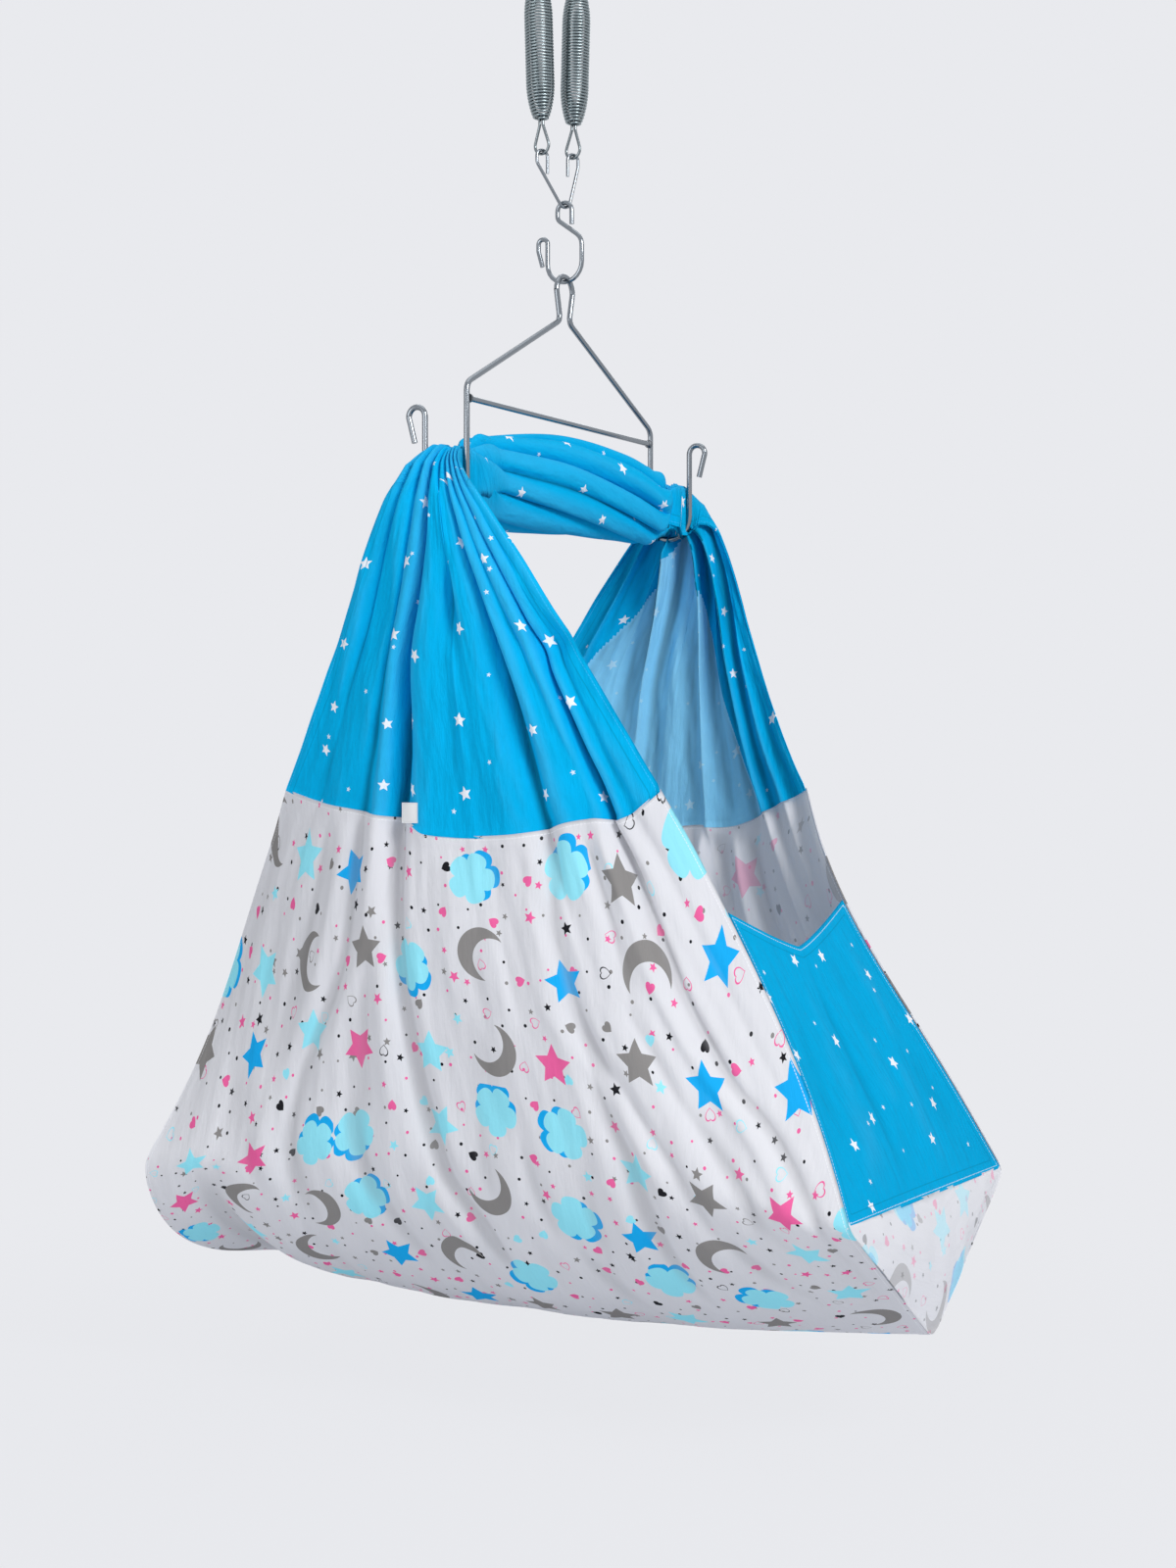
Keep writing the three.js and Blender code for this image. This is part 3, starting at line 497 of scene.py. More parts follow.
class Cells:
    """Square cells of a print, each with its own turn, random numbers and place within the jitter."""

    def __init__(self, shader, u, v, size, jitter, seed):
        i, j = (u / size).calc("FLOOR"), (v / size).calc("FLOOR")
        self.draws = []
        for k in range(2):
            at = shader.triple("XYZ", i, j, seed + 7.31 * k)
            noise = shader.node("TexWhiteNoise", {"Vector": at}, "Color", noise_dimensions="3D")
            parts = shader.node("SeparateColor", {0: noise})
            self.draws += [Socket(shader, parts.link.node.outputs[n]) for n in range(3)]
        x = u - (i + 0.5) * size - (self.draws[0] - 0.5) * jitter
        y = v - (j + 0.5) * size - (self.draws[1] - 0.5) * jitter
        turn = self.draws[2] * (2 * math.pi)
        cos, sin = turn.calc("COSINE"), turn.calc("SINE")
        self.x, self.y = x * cos + y * sin, y * cos - x * sin
        self.far = self.x.reach(self.y)
        self.angle = self.y.calc("ARCTAN2", self.x)

    def star(self, radius, waist=0.46):
        """A five-pointed star; radius may be a number or a socket."""
        sector = abs(self.angle.calc("WRAP", math.radians(36), math.radians(-36)))
        tip = math.radians(36)
        nx, ny = waist * math.sin(tip), 1 - waist * math.cos(tip)
        length = math.hypot(nx, ny)
        lean = math.atan2(ny, nx)
        reach = self.far * (sector - lean).calc("COSINE")
        return reach < radius * (nx / length)

    def round(self, radius, x=0.0, y=0.0):
        return (self.x - x).reach(self.y - y) < radius

    def crescent(self, radius):
        """A round with a smaller one taken out of its side."""
        return self.round(radius) * (1 - self.round(radius * 0.82, radius * 0.46, radius * 0.12))

    def blossom(self, radius, x=0.0, y=0.0):
        """A round with five puffed scallops."""
        dx, dy = self.x - x, self.y - y
        lobes = abs((dy.calc("ARCTAN2", dx) * 2.5).calc("COSINE"))
        return dx.reach(dy) < (lobes * (2 - lobes) * 0.30 + 0.75) * radius

    def heart(self, radius):
        """A round whose middle dips."""
        x, y = self.x / radius, self.y / radius
        dip = y - abs(x).calc("SQRT") * 0.62
        return (x * x + dip * dip * 1.15).calc("SQRT") < 0.92


def weave(shader, u, v, strength):
    """Plain weave, uneven threads and soft creases, as a bump."""
    warp = abs((u * (math.pi / THREAD_PITCH)).calc("SINE"))
    weft = abs((v * (math.pi / THREAD_PITCH)).calc("SINE"))
    slub = shader.noise(1.0, 2.0, shader.triple("XYZ", u * 900, v * 60))
    crease = shader.noise(26.0, 5.0, rough=0.62)
    return shader.bump(warp * weft * 0.35 + slub * 0.5 + crease * 1.6, strength, 0.0004)


def creases(shader, u, v, normal, depth):
    """Soft creases that run down the cloth, over its weave."""
    height = shader.noise(1.0, 5.0, shader.triple("XYZ", u * 34.0, v * 7.0), 0.55)
    return shader.bump(height, 0.6, depth, Normal=normal)


def stitches(shader, colour, thread, line=0.0040, pitch=0.0036):
    """Stitches of thread along the hems, in one line at this distance from the edge."""
    off, along = shader.uv("hem")
    sewn = (along / pitch).calc("FRACT") < 0.72
    return colour.blend(thread, (abs(off - line) < THREAD_HALF) * sewn * 0.7)


def cotton_surface(shader, u, v, colour, rough, shine, thread, crease, glow):
    """Gives cotton its colour and dull sheen, its weave and creases, and a painted glow that stands in for
    light let through.
    """
    shader.set(
        Base_Color=colour, Roughness=shader.noise(40.0) * 0.1 + rough,
        Normal=creases(shader, u, v, weave(shader, u, v, thread), crease),
        Specular_IOR_Level=shine, Emission_Color=colour, Emission_Strength=glow,
    )
    return shader.material


def star_cloth(name, ground, ink, thread=None, faint=1.0, glow=0.0, shade=0.74):
    """Dyed cotton with small stars, with painted shade in the valleys between folds and a faint painted
    highlight on the crests.

    faint is how strongly the print shows, glow the strength of a painted glow, an emission that stands in for
    light let through the cloth, and shade how far the painted shade darkens the valleys between folds.
    """
    shader = Shader(name)
    u, v = shader.uv("print")
    tone = shader.noise(5.0, 4.0) * 0.16 + shader.noise(60.0, 3.0) * 0.10 + 0.87
    colour = shader.toned(ground, tone)
    large = Cells(shader, u, v, 0.076, 0.040, 3.0)
    colour = colour.blend(ink, large.star(large.draws[3] * 0.0014 + 0.0062) * faint)
    small = Cells(shader, u + 0.031, v + 0.017, 0.052, 0.034, 11.0)
    seen = small.draws[4] < 0.55
    colour = colour.blend(ink, small.star(small.draws[3] * 0.0010 + 0.0022) * seen * (0.8 * faint))
    # Painted shade darkens the valleys between folds, and a faint painted highlight pales the crests.
    deep = shader.uv("fold")[0]
    colour = colour.blend(tuple(0.30 * c for c in ground), shader.above(deep, 0.5, 1.0) * shade)
    colour = colour.blend(tuple(0.45 * c + 0.45 for c in ground), shader.above(1 - deep, 0.55, 1.0) * 0.05)
    if thread is not None:
        # Painted shade: a dark line where each hem's thicker band ends.
        groove = abs(shader.uv("hem")[0] - (HEM_WIDE + 0.0003)) < 0.0006
        colour = colour.blend(tuple(0.55 * c for c in ground), groove * 0.45)
        colour = stitches(shader, colour, thread)
    return cotton_surface(shader, u, v, colour, 0.78, 0.06, 0.35, 0.013, glow)


def print_cloth(settings, name, faint=1.0, glow=0.0):
    """White cotton printed with plain stars, crescents, blossoms, hearts and dots, and painted shade in the
    valleys between folds.
    """
    shader = Shader(name)
    u, v = shader.uv("print")
    colour = shader.toned(tuple(settings.white), shader.noise(7.0, 4.0) * 0.10 + 0.95)

    def pick(draw, *steps):
        """The first colour, and each next one where the draw is over its step."""
        chosen = shader.colour(steps[0])
        for limit, ink in zip(steps[1::2], steps[2::2]):
            chosen = chosen.blend(ink, draw > limit)
        return chosen

    dots = Cells(shader, u + 0.009, v + 0.004, 0.0215, 0.013, 5.0)
    kind = dots.draws[3]
    speck = dots.round(dots.draws[4] * 0.0007 + 0.0011) * (kind < 0.62)
    tiny = dots.star(dots.draws[4] * 0.0016 + 0.0026) * (kind > 0.62) * (kind < 0.86)
    marks = [(pick(dots.draws[5], BLACK, 0.42, GREY, 0.62, PINK), speck + tiny)]

    hearts = Cells(shader, u + 0.021, v + 0.027, 0.044, 0.020, 23.0)
    kind = hearts.draws[3]
    full = hearts.heart(0.0052) * (kind < 0.42)
    ring = hearts.heart(0.0056) * (1 - hearts.heart(0.0046)) * (kind > 0.42) * (kind < 0.72)
    small = hearts.star(0.0062) * (kind > 0.72)
    marks.append((pick(hearts.draws[4], PINK, 0.5, CYAN, 0.68, GREY, 0.86, BLACK), full + ring + small))

    big = Cells(shader, u, v, 0.080, 0.030, 43.0)
    kind = big.draws[3]
    star = big.star(big.draws[4] * 0.003 + 0.0195, 0.5) * (kind > 0.42) * (kind < 0.95)
    marks += [
        (BLUE, big.blossom(0.0235, 0.0048, -0.0048) * (kind < 0.2)),
        (CYAN, big.blossom(0.0235) * (kind < 0.2)),
        (GREY, big.crescent(0.0255) * (kind > 0.2) * (kind < 0.42)),
        (pick(big.draws[5], PINK, 0.3, BLUE, 0.58, CYAN, 0.8, GREY), star),
    ]
    for ink, mark in marks:
        colour = colour.blend(ink, mark * faint)
    # Painted shade: the colour darkens in the valleys between folds.
    deep = shader.uv("fold")[0]
    colour = colour.blend(tuple(0.4 * c for c in settings.white), shader.above(deep, 0.5, 1.0) * 0.30)
    colour = stitches(shader, colour, (0.92, 0.93, 0.96))
    return cotton_surface(shader, u, v, colour, 0.8, 0.08, 0.4, 0.006, glow)


def metal(name, colour, rough, streak):
    """Plated steel with drawing lines and faint scuffs."""
    shader = Shader(name)
    grain = shader.noise(420.0, 3.0)
    wear = shader.noise(30.0, 5.0, rough=0.7)
    shader.set(
        Base_Color=shader.colour(colour).blend(tuple(0.72 * c for c in colour), wear * 0.3),
        Metallic=1.0,
        Roughness=grain * streak + wear * 0.10 + rough,
        Normal=shader.bump(grain, 0.12, 0.0002),
    )
    return shader.material


# The gathered blue cloth


def folds(s, share, place):
    """The folds at each column: their number, place across the hook, and way aside and out of the cloth.

    share is 0 for the front cloth, 1 for the rear, and place runs from 0 at the hook to 1 at the seam.
    """
    number = mix(reading(s, FRONT_VALLEYS, VALLEYS), reading(s, REAR_VALLEYS, VALLEYS), share)
    last = VALLEYS[-1]
    ridge = np.sin(math.pi * (number % 1.0))
    low = float(ease(place, 0.02, 0.75))
    hung = float(ease(place, -0.02, 0.07))
    deep = mix(np.interp(number, VALLEYS, FRONT_DEEP), np.interp(number, VALLEYS, REAR_DEEP), share)
    deep = mix(mix(1.0, np.interp(number, VALLEYS, HANG_DEEP), hung), deep, low)
    sharp = mix(0.60, 1.05, low)
    out = 1 - 2 * deep * (1 - ridge**sharp) + 0.16 * low * np.sin(1.9 * number + 2.2)
    out += 0.10 * np.sin(5.3 * number + 4 * place)
    lap = LAP * (1 - share) * bell((number - LAP_FOLD) / LAP_HALF)
    lap *= math.sin(math.pi * float(clamp(place / 0.8)))
    snug = mix(0.13, 0.0, ease(place, 0.0, 0.8))
    aside = 2 / last * (0.16 * (1 - low) * ridge - snug * np.sin(2 * math.pi * number)) + lap
    return number, reading(number, VALLEYS, HOOK_WAYS), aside, out


def seam_drop(side, s):
    """How far below the hooks the seam lies."""
    dip = reading(s, SEAM_PLACES, SEAM_DIPS) if side < 0 else 0.004 * np.sin(9 * s) * (1 - s * s)
    return SEAM_DROP + SEAM_SAG * (1 - s * s) + dip


def rounding(s, share):
    """Draws a bundle's sides in, so that it is round where share is 1."""
    return mix(1.0, np.sqrt(np.maximum(0.05, 1 - (0.95 * s) ** 2)), share)


def drape_row(side, place, s, settings):
    """A row of the hanging cloth, at a place from the hook to the seam; s runs across it from -1 to 1."""
    low = clamp(place)
    span = reading(place, PLACES, SPANS) * mix(1.0, SEAM_SPAN[side] / SEAM_SPAN[-1], low)
    turn = math.radians(float(reading(place, PLACES, TURNS)))
    _, even, aside, out = folds(s, (side + 1) / 2, place)
    round_off = rounding(even, reading(place, PLACES, ROUNDS))
    out *= reading(place, PLACES, DEPTHS) * settings.fold_depth * round_off
    across = mix(even, s, ease(place, 0.0, 0.6)) + aside
    drawn = 0.075 * ease(across, -0.1, 0.7) if side < 0 else 0.15 * ease(-across, 0.1, 0.7)
    across *= (1 - drawn * math.sin(math.pi * float(low) ** 0.8))
    creased = 0.0013 * ripple(s * 9 + 2 * low, low * 4, 3.0 + side)
    creased += 0.0006 * ripple(s * 23, low * 9 + 3 * s, 8.0 + side)
    creased += 0.0022 * ripple(s * 4 + low, low * 2.5, 5.0 + side)
    out += creased * float(ease(place, 0.0, 0.1) * (1 - ease(place, 0.93, 1.0)))
    for down, at, long, wide, deep in POCKETS if side < 0 else ():
        out -= deep * bell((place - down) / long) * bell((s - at) / wide)
    if side > 0:
        near = float(reading(low, TURN_PLACES, TURN_NEAR))
        far = float(reading(low, TURN_PLACES, TURN_FAR))
        turned = clamp(1 - ease(s, near - 0.02, near + 0.035)) + ease(s, far - 0.035, far + 0.02)
        out -= 0.0050 * turned * (0.4 + 0.6 * low)
    seam = mix(SEAM_MIDDLE, SEAM_END, s * s)
    reach = mix(reading(place, PLACES, REACHES), seam, low) + out * math.cos(turn)
    run = mix(HOOK, SEAM_SHIFT[side], low) - side * span * across
    z = SEAT - low * seam_drop(side, s) + out * math.sin(turn) + reading(place, PLACES, LIFTS) * round_off
    return np.stack([side * reach, -side * run, z * np.ones_like(s)], axis=1)


def bridge_row(share, s, settings):
    """A row of the gathered bundle between the hooks, wound about its middle."""
    swell = float(reading(share, BRIDGE_PLACES, BRIDGE_SWELLS))
    wrap = float(ease(min(share, 1 - share), 0.0, 0.16))
    number, even, aside, out = folds(s, share, 0.0)
    flat_y = SPANS[0] * (even + aside)
    flat_z = DEPTHS[0] * rounding(even, ROUNDS[0]) * out
    angle = math.pi * 1.03 * (2 * number / VALLEYS[-1] - 1) + settings.bundle_turn * (0.5 - share) - 0.74
    off = np.abs(number - np.round(number))
    deep = np.interp(number, VALLEYS, BRIDGE_DEEP) * (1 + 0.4 * np.sin(2.9 * number + 5 * share))
    lean = (number % 1.0 - 0.5) * (1 - bell(off / 0.04))
    size = 1 - 0.30 * deep * np.exp(-((off / 0.14) ** 1.15)) + 0.05 * np.sin(1.3 * number + 3 * share)
    size -= 0.15 * np.minimum(deep, 1.0) * lean
    size += 0.016 * ripple(number * 1.4 + 4 * share, share * 3, 6.0) - 0.20 * ease(even, 0.72, 1.0)
    size *= (1 + 0.30 * 4 * wrap * (1 - wrap))
    wide = mix(0.62, 1.0, swell) * settings.bundle_wide
    high = mix(0.62, 1.0, swell) * settings.bundle_high
    y = mix(flat_y, wide * np.sin(angle) * size, wrap)
    z = mix(flat_z, high * np.cos(angle) * size, wrap)
    x = mix(-(LEG - INSIDE), LEG - INSIDE, share)
    y = HOOK * math.cos(math.pi * share) + y
    lift = float(reading(share, BRIDGE_PLACES, BRIDGE_LIFTS))
    z = SEAT + mix(LIFTS[0] * rounding(even, ROUNDS[0]), lift, wrap) + z
    return np.stack([np.full_like(s, x), y, z], axis=1)


def blue_grid(settings):
    """The gathered sheet from the front seam to the rear one, and which of its faces show the outside."""
    s = np.linspace(-1, 1, 361)
    fan = np.linspace(1, 0, 84) ** 1.2
    hook = np.linspace(0, PLACES[0], 12)[1:]
    front = [drape_row(-1, place, s, settings) for place in (*fan, *hook)]
    bridge = [bridge_row(share, s, settings) for share in np.linspace(0, 1, 92)[1:-1]]
    places = (*hook[::-1], *fan[::-1])
    rear = [drape_row(1, place, s, settings) for place in places]
    low = clamp(np.array(places))
    near, far = reading(low, TURN_PLACES, TURN_NEAR), reading(low, TURN_PLACES, TURN_FAR)
    shown = (s[None] < near[:, None]) | (s[None] > far[:, None])
    outside = np.zeros((len(front) + len(bridge) + len(rear), len(s)), bool)
    outside[len(fan):len(front) + len(bridge) + 4] = True
    outside[len(front) + len(bridge):] |= shown
    points = np.array(front + bridge + rear)
    for row, side in ((0, -1), (-1, 1)):
        points[row] += (0.0014 * side, 0.0, -0.0030)
    return points, outside


# The white bed


def end_reach(g):
    """How far out a wall's end lies, g of the way from the seam to the bed's edge."""
    pinch = (PANEL_DROP - SEAM_DROP) / (EDGE_DROP - SEAM_DROP)
    seam = ((g - pinch) * (g - 1)) / pinch
    middle = (g * (g - 1)) / (pinch * (pinch - 1))
    bed = (g * (g - pinch)) / (1 - pinch)
    return SEAM_END * seam + PINCH * middle + BED_REACH * bed


def bed_half(s):
    """Half the bed's length, at its near or its far half."""
    return np.where(s > 0, BED_HALF[1], BED_HALF[-1])


def end_run(side, s, g):
    """How far a wall's end lies from the middle."""
    bow = np.where(s > 0, END_BOW[side][1], END_BOW[side][0]) * 4 * g * (1 - g)
    wave = np.where(s > 0, END_WAVE[side][1], END_WAVE[side][0]) * np.sin(2 * math.pi * g)
    return mix(SEAM_SPAN[side], bed_half(s), g) - bow - wave


def edge_drop(s):
    """How far below the hooks the bed's edge lies."""
    return EDGE_DROP - EDGE_LIFT * (1 - s * s) ** 2


def bed_relief(side, s, g, settings):
    """How far folds and wrinkles stand out; g runs to 1 at the bed's edge and on to 2 at its keel."""
    total = settings.wrinkle * ripple(s * 5.5, g * 1.1, 2.0 + side)
    total += 0.40 * settings.wrinkle * ripple(s * 17 + 1.5 * g, g * 3.0, 5.0 + side)
    total *= float(ease(g, 0.0, 0.15))
    for depth, half, lap, downs, ways in BED_FOLDS:
        start = 1.0 if downs[0] == 0 else float(ease(g, downs[0], downs[0] + 0.2))
        fade = start * (1 - float(ease(g, downs[-1] - 0.3, downs[-1])))
        if fade > 0:
            off = (-side * s - float(reading(g, downs, ways))) / half
            groove = 0.75 * bell((np.abs(off) - 1.9) / 1.1) - np.exp(-np.abs(off) ** 1.3)
            step = lap * np.tanh(2.2 * off) * bell(off / 2.6)
            total += 0.52 * depth * fade * (groove + step)
    crease = bell((g - 0.27 - 0.03 * s) / 0.010) * (np.abs(s + 0.05 * side) < 0.3)
    return total * float(ease(g, 0.0, 0.10)) - 0.0012 * crease


def wall_row(side, s, g, settings):
    """A row of a wall, g of the way from the seam to the bed's edge."""
    hold = np.abs(s) ** 2.5
    belly = (BELLY - SEAM_MIDDLE) * math.sin(math.pi * g)
    middle = mix(SEAM_MIDDLE, BED_REACH, g) + belly
    fold = DEPTHS[-1] * settings.fold_depth * folds(s, (side + 1) / 2, 1.0)[3]
    fold *= (1 - g) ** 1.6 * (1 - 0.5 * float(ease(g, 0.0, 0.16)))
    reach = mix(middle, end_reach(g), hold) + fold + bed_relief(side, s, g, settings) * (1 - hold**3)
    drop = mix(seam_drop(side, s) + 0.0006, edge_drop(s), g)
    run = mix(SEAM_SHIFT[side], 0.0, g) - side * end_run(side, s, g) * s
    return np.stack([side * reach, -side * run, SEAT - drop], axis=1)


def under_row(side, s, k, settings):
    """A row of the bed's underside, k of the way from its edge to its keel."""
    hold = np.where(s > 0, 1 - FAR_ROUND, 1.0) * np.abs(s) ** 3
    turn = k * math.pi / 2
    keel = KEEL_DROP - np.where(s > 0, KEEL_RISE[1], KEEL_RISE[-1]) * s * s
    relief = bed_relief(side, s, 1 + k, settings) * (1 - np.abs(s) ** 7.5) * (1 - k**3)
    reach = BED_REACH * mix(math.cos(turn), 1 - k, hold) + relief * math.cos(turn)
    lobe = 0.013 * ease(s, 0.87, 1.0) - 0.020 * bell((s - 0.80) / 0.075) if side < 0 else 0.0
    drop = mix(edge_drop(s), keel, mix(math.sin(turn), k, hold)) + relief * math.sin(turn)
    drop += lobe * math.sin(math.pi * k) ** 0.7
    return np.stack([side * reach, bed_half(s) * s, SEAT - drop], axis=1)


def bed_grid(settings):
    """The bed from the front seam to the rear one, and its first and last rows under the edges."""
    s = np.linspace(-1, 1, 301)
    walls = np.linspace(0, 1, 84)
    unders = np.linspace(0, 1, 44)
    front, rear = (
        [wall_row(side, s, g, settings) for g in walls] + [under_row(side, s, k, settings) for k in downs]
        for side, downs in ((-1, unders[1:]), (1, unders[1:-1]))
    )
    points = np.array(front + rear[::-1])
    rounded = soften(points, 1.6)
    rounded[0], rounded[-1] = points[0], points[-1]
    return rounded, (len(walls), len(points) - len(walls))


def gusset_grid(bed, end, rows):
    """The cloth that closes the bed's end, from its edge up to the panel's lower edge."""
    edge = bed[rows[0] - 1:rows[1] + 1, -1 if end > 0 else 0]
    top = edge.copy()
    top[:, 2] = SEAT - EDGE_DROP + 0.004
    top[:, 1] = end * (BED_HALF[end] - 0.0035)
    j = np.linspace(0, 1, 18)[None, :, None]
    points = mix(edge[:, None], top[:, None], j)
    share = np.linspace(-1, 1, len(edge))[:, None]
    bulge = 0.010 * (1 - share**2) * np.sin(math.pi * j[..., 0])
    bulge += 0.0022 * ripple(share * 5, j[..., 0] * 2, 4.0 + end)
    points[..., 1] += end * bulge * (1 - np.abs(share) ** 4)
    return points


def panel_grid(end):
    """An end panel, from its V-shaped top to its lower edge."""
    s = np.linspace(-1, 1, 81)
    dip = 0.16 * end
    rows = []
    for share in np.linspace(0, 1, 81):
        away = np.abs(s - dip) / (1 - dip * np.sign(s - dip))
        top = PANEL_DROP + PANEL_SAG * (1 - away**1.2)
        drop = mix(top, EDGE_DROP - 0.0019, share)
        g = (drop - SEAM_DROP) / (EDGE_DROP - SEAM_DROP)
        reach = end_reach(g) - 0.0018
        front = end * mix(SEAM_SHIFT[-1], 0, g) + end_run(-1, end, g)
        rear = -end * mix(SEAM_SHIFT[1], 0, g) + end_run(1, end, g)
        run = mix(front, rear, (s + 1) / 2) - 0.0024
        crease = 0.0030 * bell((s - 0.12 * end + 0.1 * share) / 0.05)
        slack = 0.0065 * ripple(s * 2.2, share * 1.6, 6.0 + end)
        slack = (slack + 0.0012 * ripple(s * 6 + 2 * share, share * 7, 2.0)) * (1 - s**4)
        swell = math.sin(math.pi * share)
        run = end * (run - crease * swell**0.5 + slack * swell)
        rows.append(np.stack([reach * s, run, SEAT - drop], axis=1))
    return np.array(rows)


def nearest_hem(points, ends=True):
    """Distance from the nearest hemmed edge, and the place along it; ends for a cloth hemmed all round."""
    across, down = run_along(points, 1), run_along(points, 0)
    far = np.full(across.shape, 1.0)
    along = np.zeros(across.shape)
    choices = [(across, down), (across[:, -1:] - across, down)]
    if ends:
        choices += [(down, across), (down[-1:] - down, across)]
    for off, way in choices:
        near = off < far
        far, along = np.where(near, off, far), np.where(near, way, along)
    return np.stack([far, along], axis=2)


# Operators


class Step:
    """What the operators share: they build from the settings."""

    def execute(self, context):
        self.build(context.scene.cradle)
        return {"FINISHED"}


class CRADLE_OT_springs(Step, bpy.types.Operator):
    """Wind the two close springs"""

    bl_idname = "cradle.springs"
    bl_label = "Springs"

    def build(self, settings):
        steel = metal("spring_steel", (0.27, 0.32, 0.335), 0.20, 0.05)
        for name, (head, foot) in SPRINGS.items():
            head, foot = np.array(head), np.array(foot)
            span = np.linalg.norm(head - foot)
            axis, length = (head - foot) / span, span - 2 * EYE_DROP
            side = np.cross(axis, (0.0, 1.0, 0.0))
            side /= np.linalg.norm(side)
            up = np.cross(axis, side)
            run = np.linspace(0, 1, settings.spring_turns * 26 + 1)
            turn = 2 * math.pi * settings.spring_turns * run
            taper = np.sin(clamp(np.minimum(run, 1 - run) * length / COIL_TAPER) * math.pi / 2) ** 0.7
            radius = mix(COIL_NECK, COIL_REACH, taper) - settings.spring_wire / 2
            line = (
                foot + axis * (EYE_DROP + run * length)[:, None]
                + (side * np.cos(turn)[:, None] + up * np.sin(turn)[:, None]) * radius[:, None]
            )
            coil = tube(f"{name}_coil", line, settings.spring_wire / 2, 8, steel)
            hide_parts(f"{name}_spring")
            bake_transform(coil)


class CRADLE_OT_wire(Step, bpy.types.Operator):
    """Finish the eyes, the yoke, the S-hook and the hanger"""

    bl_idname = "cradle.wire"
    bl_label = "Wire parts"

    def build(self, settings):
        bright = metal("bright_chrome", (0.25, 0.275, 0.30), 0.12, 0.05)
        steel = metal("plated_steel", (0.22, 0.25, 0.265), 0.16, 0.08)
        weld = metal("weld", (0.20, 0.215, 0.23), 0.30, 0.12)
        finishes = {name: bright for name in ("spring_yoke", "s_hook", "hanger_frame", "cross_bar")}
        for side in ("left", "right"):
            finishes |= {f"{side}_upper_eye": steel, f"{side}_lower_eye": steel, f"{side}_weld": weld}
        # The CAD's facets are shaded smooth, with its true edges kept
        for name, finish in finishes.items():
            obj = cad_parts[name]
            obj.data.materials.clear()
            obj.data.materials.append(finish)
            marks = obj.data.attributes.get("custom_normal")
            if marks is not None:
                obj.data.attributes.remove(marks)
            obj.data.polygons.foreach_set("use_smooth", np.ones(len(obj.data.polygons), bool))
            obj.modifiers.new("join", "WELD").merge_threshold = 1e-5
            obj.modifiers.new("edges", "EDGE_SPLIT").split_angle = math.radians(50)


class CRADLE_OT_blue_cloth(Step, bpy.types.Operator):
    """Drape the blue cloth over both hooks, down to its two seams"""

    bl_idname = "cradle.blue_cloth"
    bl_label = "Blue cloth"

    def build(self, settings):
        outside = star_cloth("blue_cotton", tuple(settings.blue), STAR_INK, (0.06, 0.54, 0.98))
        # The reverse has a faint painted glow that stands in for light let through the cloth.
        reverse = star_cloth("blue_reverse", tuple(settings.pale), (0.66, 0.88, 1.0), faint=0.6, glow=0.05)
        points, strip = blue_grid(settings)
        hem = nearest_hem(points, ends=False)
        cloth = make_sheet(
            "blue_sheet", points, settings.cloth_thick, (outside, reverse),
            hem=hem, proud=0.0004, strip=strip, inner=1,
        )
        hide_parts("front_drape", "bridge", "rear_drape")
        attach(cloth, "hanger")


class CRADLE_OT_bed(Step, bpy.types.Operator):
    """Sew the printed bed with its closed ends"""

    bl_idname = "cradle.bed"
    bl_label = "Bed"

    def build(self, settings):
        cotton = print_cloth(settings, "printed_cotton")
        # The lining has a faint painted glow that stands in for light let through the cloth.
        lining = print_cloth(settings, "printed_reverse", 0.45, 0.075)
        points, rows = bed_grid(settings)
        bed = make_sheet(
            "printed_bed", points, settings.cloth_thick, (cotton, lining), flip=True,
            hem=nearest_hem(points), proud=0.0004, inner=1,
        )
        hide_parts("bed_cloth")
        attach(bed, "hanger")
        for name, end in (("near", -1), ("far", 1)):
            grid = gusset_grid(points, end, rows)
            gusset = make_sheet(
                f"{name}_gusset", grid, settings.cloth_thick, (cotton, lining), flip=end < 0, inner=1
            )
            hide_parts("bed_cloth")
            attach(gusset, "hanger")


class CRADLE_OT_panels(Step, bpy.types.Operator):
    """Sew the blue panels into the bed's two ends"""

    bl_idname = "cradle.panels"
    bl_label = "End panels"

    def build(self, settings):
        ground = tuple(0.92 * c for c in settings.blue)
        cotton = star_cloth("panel_cotton", ground, STAR_INK, STAR_INK, shade=0.22)
        for name, end in (("near", -1), ("far", 1)):
            points = panel_grid(end)
            panel = make_sheet(
                f"{name}_panel", points, settings.cloth_thick, (cotton,), flip=end > 0,
                hem=nearest_hem(points), proud=0.0005, cut=points[..., (0, 2)] * (1.0, 1.05),
            )
            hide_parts(f"{name}_end_panel")
            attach(panel, "hanger")


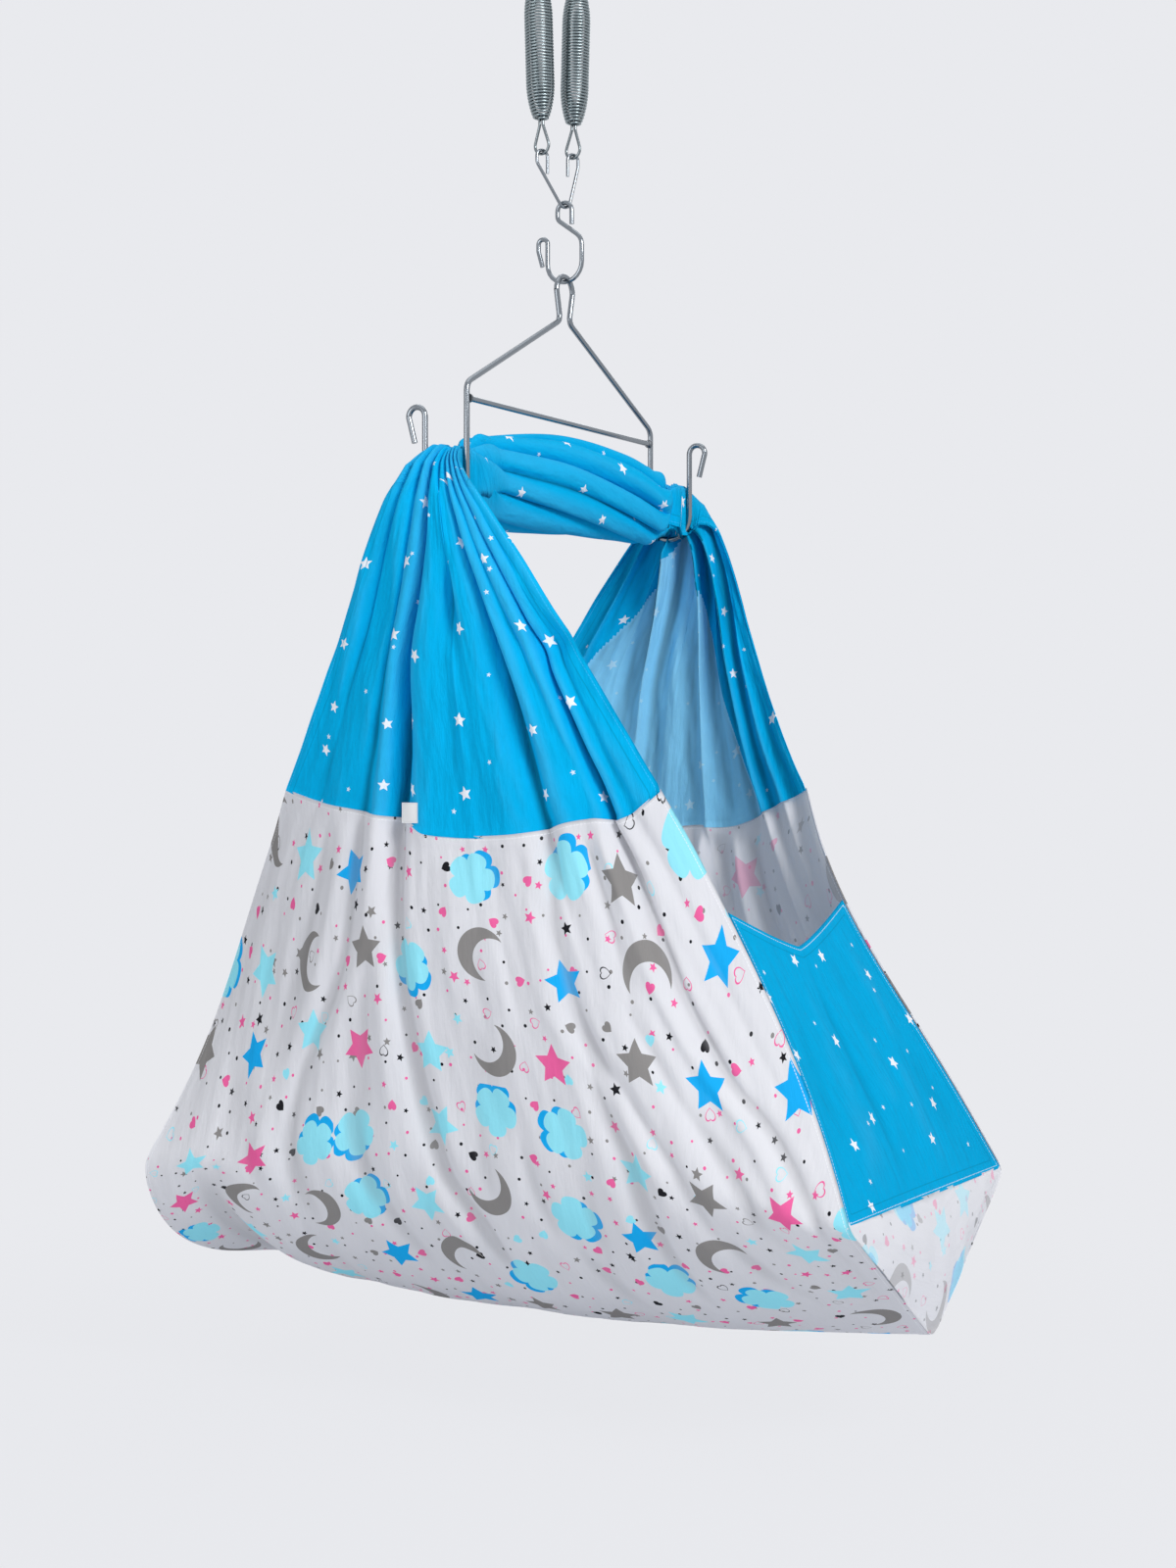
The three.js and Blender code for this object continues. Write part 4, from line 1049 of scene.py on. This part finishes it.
class CRADLE_OT_label(Step, bpy.types.Operator):
    """Sew on the bare label"""

    bl_idname = "cradle.label"
    bl_label = "Label"

    def build(self, settings):
        shader = Shader("label_satin")
        u, v = shader.uv("print")
        satin = shader.colour((0.88, 0.89, 0.90))
        shader.set(
            Base_Color=stitches(shader, satin, (0.72, 0.73, 0.76), 0.0016, 0.0024),
            Roughness=shader.noise(300.0) * 0.2 + 0.45,
            Normal=weave(shader, u, v, 0.3),
            Sheen_Weight=0.2,
        )
        low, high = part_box("side_label")
        yy, zz = np.meshgrid(np.linspace(low[1], high[1], 22), np.linspace(low[2], high[2], 22))
        across = (yy - low[1]) / (high[1] - low[1])
        up = (zz - low[2]) / (high[2] - low[2])
        s = (yy[0] - SEAM_SHIFT[-1]) / SEAM_SPAN[-1]
        under = drape_row(-1, 1.0, s, settings)[:, 0]
        slope = 0.3 * (under[-1] - under[0]) * across + under[0]
        x = slope - float(np.max(slope[0] - under)) - 0.0012
        x = x - 0.0010 * np.sin(math.pi * across) * up + 0.0003 * np.sin(5 * across + 2)
        points = np.stack([x, yy, zz], axis=2)
        label = make_sheet("cloth_label", points, LABEL_THICK, (shader.material,), hem=nearest_hem(points))
        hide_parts("side_label")
        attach(label, "hanger")


class CRADLE_OT_studio(Step, bpy.types.Operator):
    """Set the floor, the soft light and the camera"""

    bl_idname = "cradle.studio"
    bl_label = "Studio"

    def build(self, settings):
        scene = bpy.context.scene
        scene.view_settings.view_transform = "Standard"

        scene.world = world = bpy.data.worlds.new("studio")
        world.use_nodes = True
        world.node_tree.nodes.clear()
        sky = Tree(world.node_tree)
        even = sky.node("Background", {"Color": (0.95, 0.97, 1.0), "Strength": 0.32})
        seen = sky.node("Background", {"Color": BACKDROP})
        choose = sky.node("MixShader", {0: sky.sight(), 1: even, 2: seen})
        sky.join(sky.tree.nodes.new("ShaderNodeOutputWorld").inputs[0], choose)

        shader = Shader("floor")
        x, y = shader.split(shader.place())
        near = 1 - shader.above(x.reach(y), 0.35, 1.3)
        grain = shader.noise(3.0) * 0.02 + 0.98
        colour = shader.triple("Color", grain * 0.80, grain * 0.81, grain * 0.845)
        shader.set(Base_Color=colour, Roughness=0.9, Specular_IOR_Level=0.1)
        lit = Socket(shader, shader.surface.outputs[0])
        glow = shader.node("Emission", {"Color": BACKDROP, "Strength": 1.0})
        keep = shader.sight() * (1 - near * 0.05)
        both = shader.node("MixShader", {0: keep, 1: lit, 2: glow})
        shader.join(shader.tree.nodes["Material Output"].inputs[0], both)
        corners = [(6.0 * x, 6.0 * y, FLOOR) for x, y in ((-1, -1), (1, -1), (1, 1), (-1, 1))]
        floor = make_mesh("floor", corners, [[0, 1, 2, 3]], materials=(shader.material,))

        middle = Vector((0.0, 0.0, -0.85))
        for name, place, power, size in (
            ("key", (-1.3, -2.7, 0.9), 67.0, 1.1),
            ("fill", (-2.9, 0.5, -0.5), 20.0, 1.4),
            ("rim", (2.4, 0.8, 0.8), 12.0, 1.8),
            ("top", (0.0, 0.0, 1.9), 15.0, 2.4),
        ):
            light = bpy.data.lights.new(name, "AREA")
            light.shape, light.size, light.energy = "SQUARE", size, power
            lamp = bpy.data.objects.new(name, light)
            lamp.location = place
            lamp.rotation_euler = (middle - Vector(place)).to_track_quat("-Z", "Y").to_euler()
            scene.collection.objects.link(lamp)

        camera = bpy.data.cameras.new("camera")
        camera.lens, camera.sensor_width, camera.shift_y = settings.lens, 36.0, -5 / 1600
        camera.clip_start = 0.05
        eye = bpy.data.objects.new("camera", camera)
        eye.location = (-2.1813, -1.2615, -0.859)
        eye.rotation_euler = Vector((0.870, 0.492, 0.0)).to_track_quat("-Z", "Y").to_euler()
        scene.collection.objects.link(eye)
        scene.camera = eye


class CRADLE_PT_sidebar(bpy.types.Panel):
    """The settings, and a button for each step"""

    bl_idname = "CRADLE_PT_sidebar"
    bl_label = "Hanging cradle"
    bl_space_type = "VIEW_3D"
    bl_region_type = "UI"
    bl_category = "Cradle"

    def draw(self, context):
        for name in Settings.__annotations__:
            self.layout.prop(context.scene.cradle, name)
        for step in STEPS:
            self.layout.operator(step.bl_idname)


STEPS = (
    CRADLE_OT_studio, CRADLE_OT_springs, CRADLE_OT_wire, CRADLE_OT_blue_cloth, CRADLE_OT_bed,
    CRADLE_OT_panels, CRADLE_OT_label,
)


def register():
    for made in (Settings, *STEPS, CRADLE_PT_sidebar):
        bpy.utils.register_class(made)
    bpy.types.Scene.cradle = PointerProperty(type=Settings)


def unregister():
    del bpy.types.Scene.cradle
    for made in reversed((Settings, *STEPS, CRADLE_PT_sidebar)):
        bpy.utils.unregister_class(made)


def main():
    register()
    for step in STEPS:
        getattr(bpy.ops.cradle, step.bl_idname.split(".")[1])()


if __name__ == "__main__":
    main()
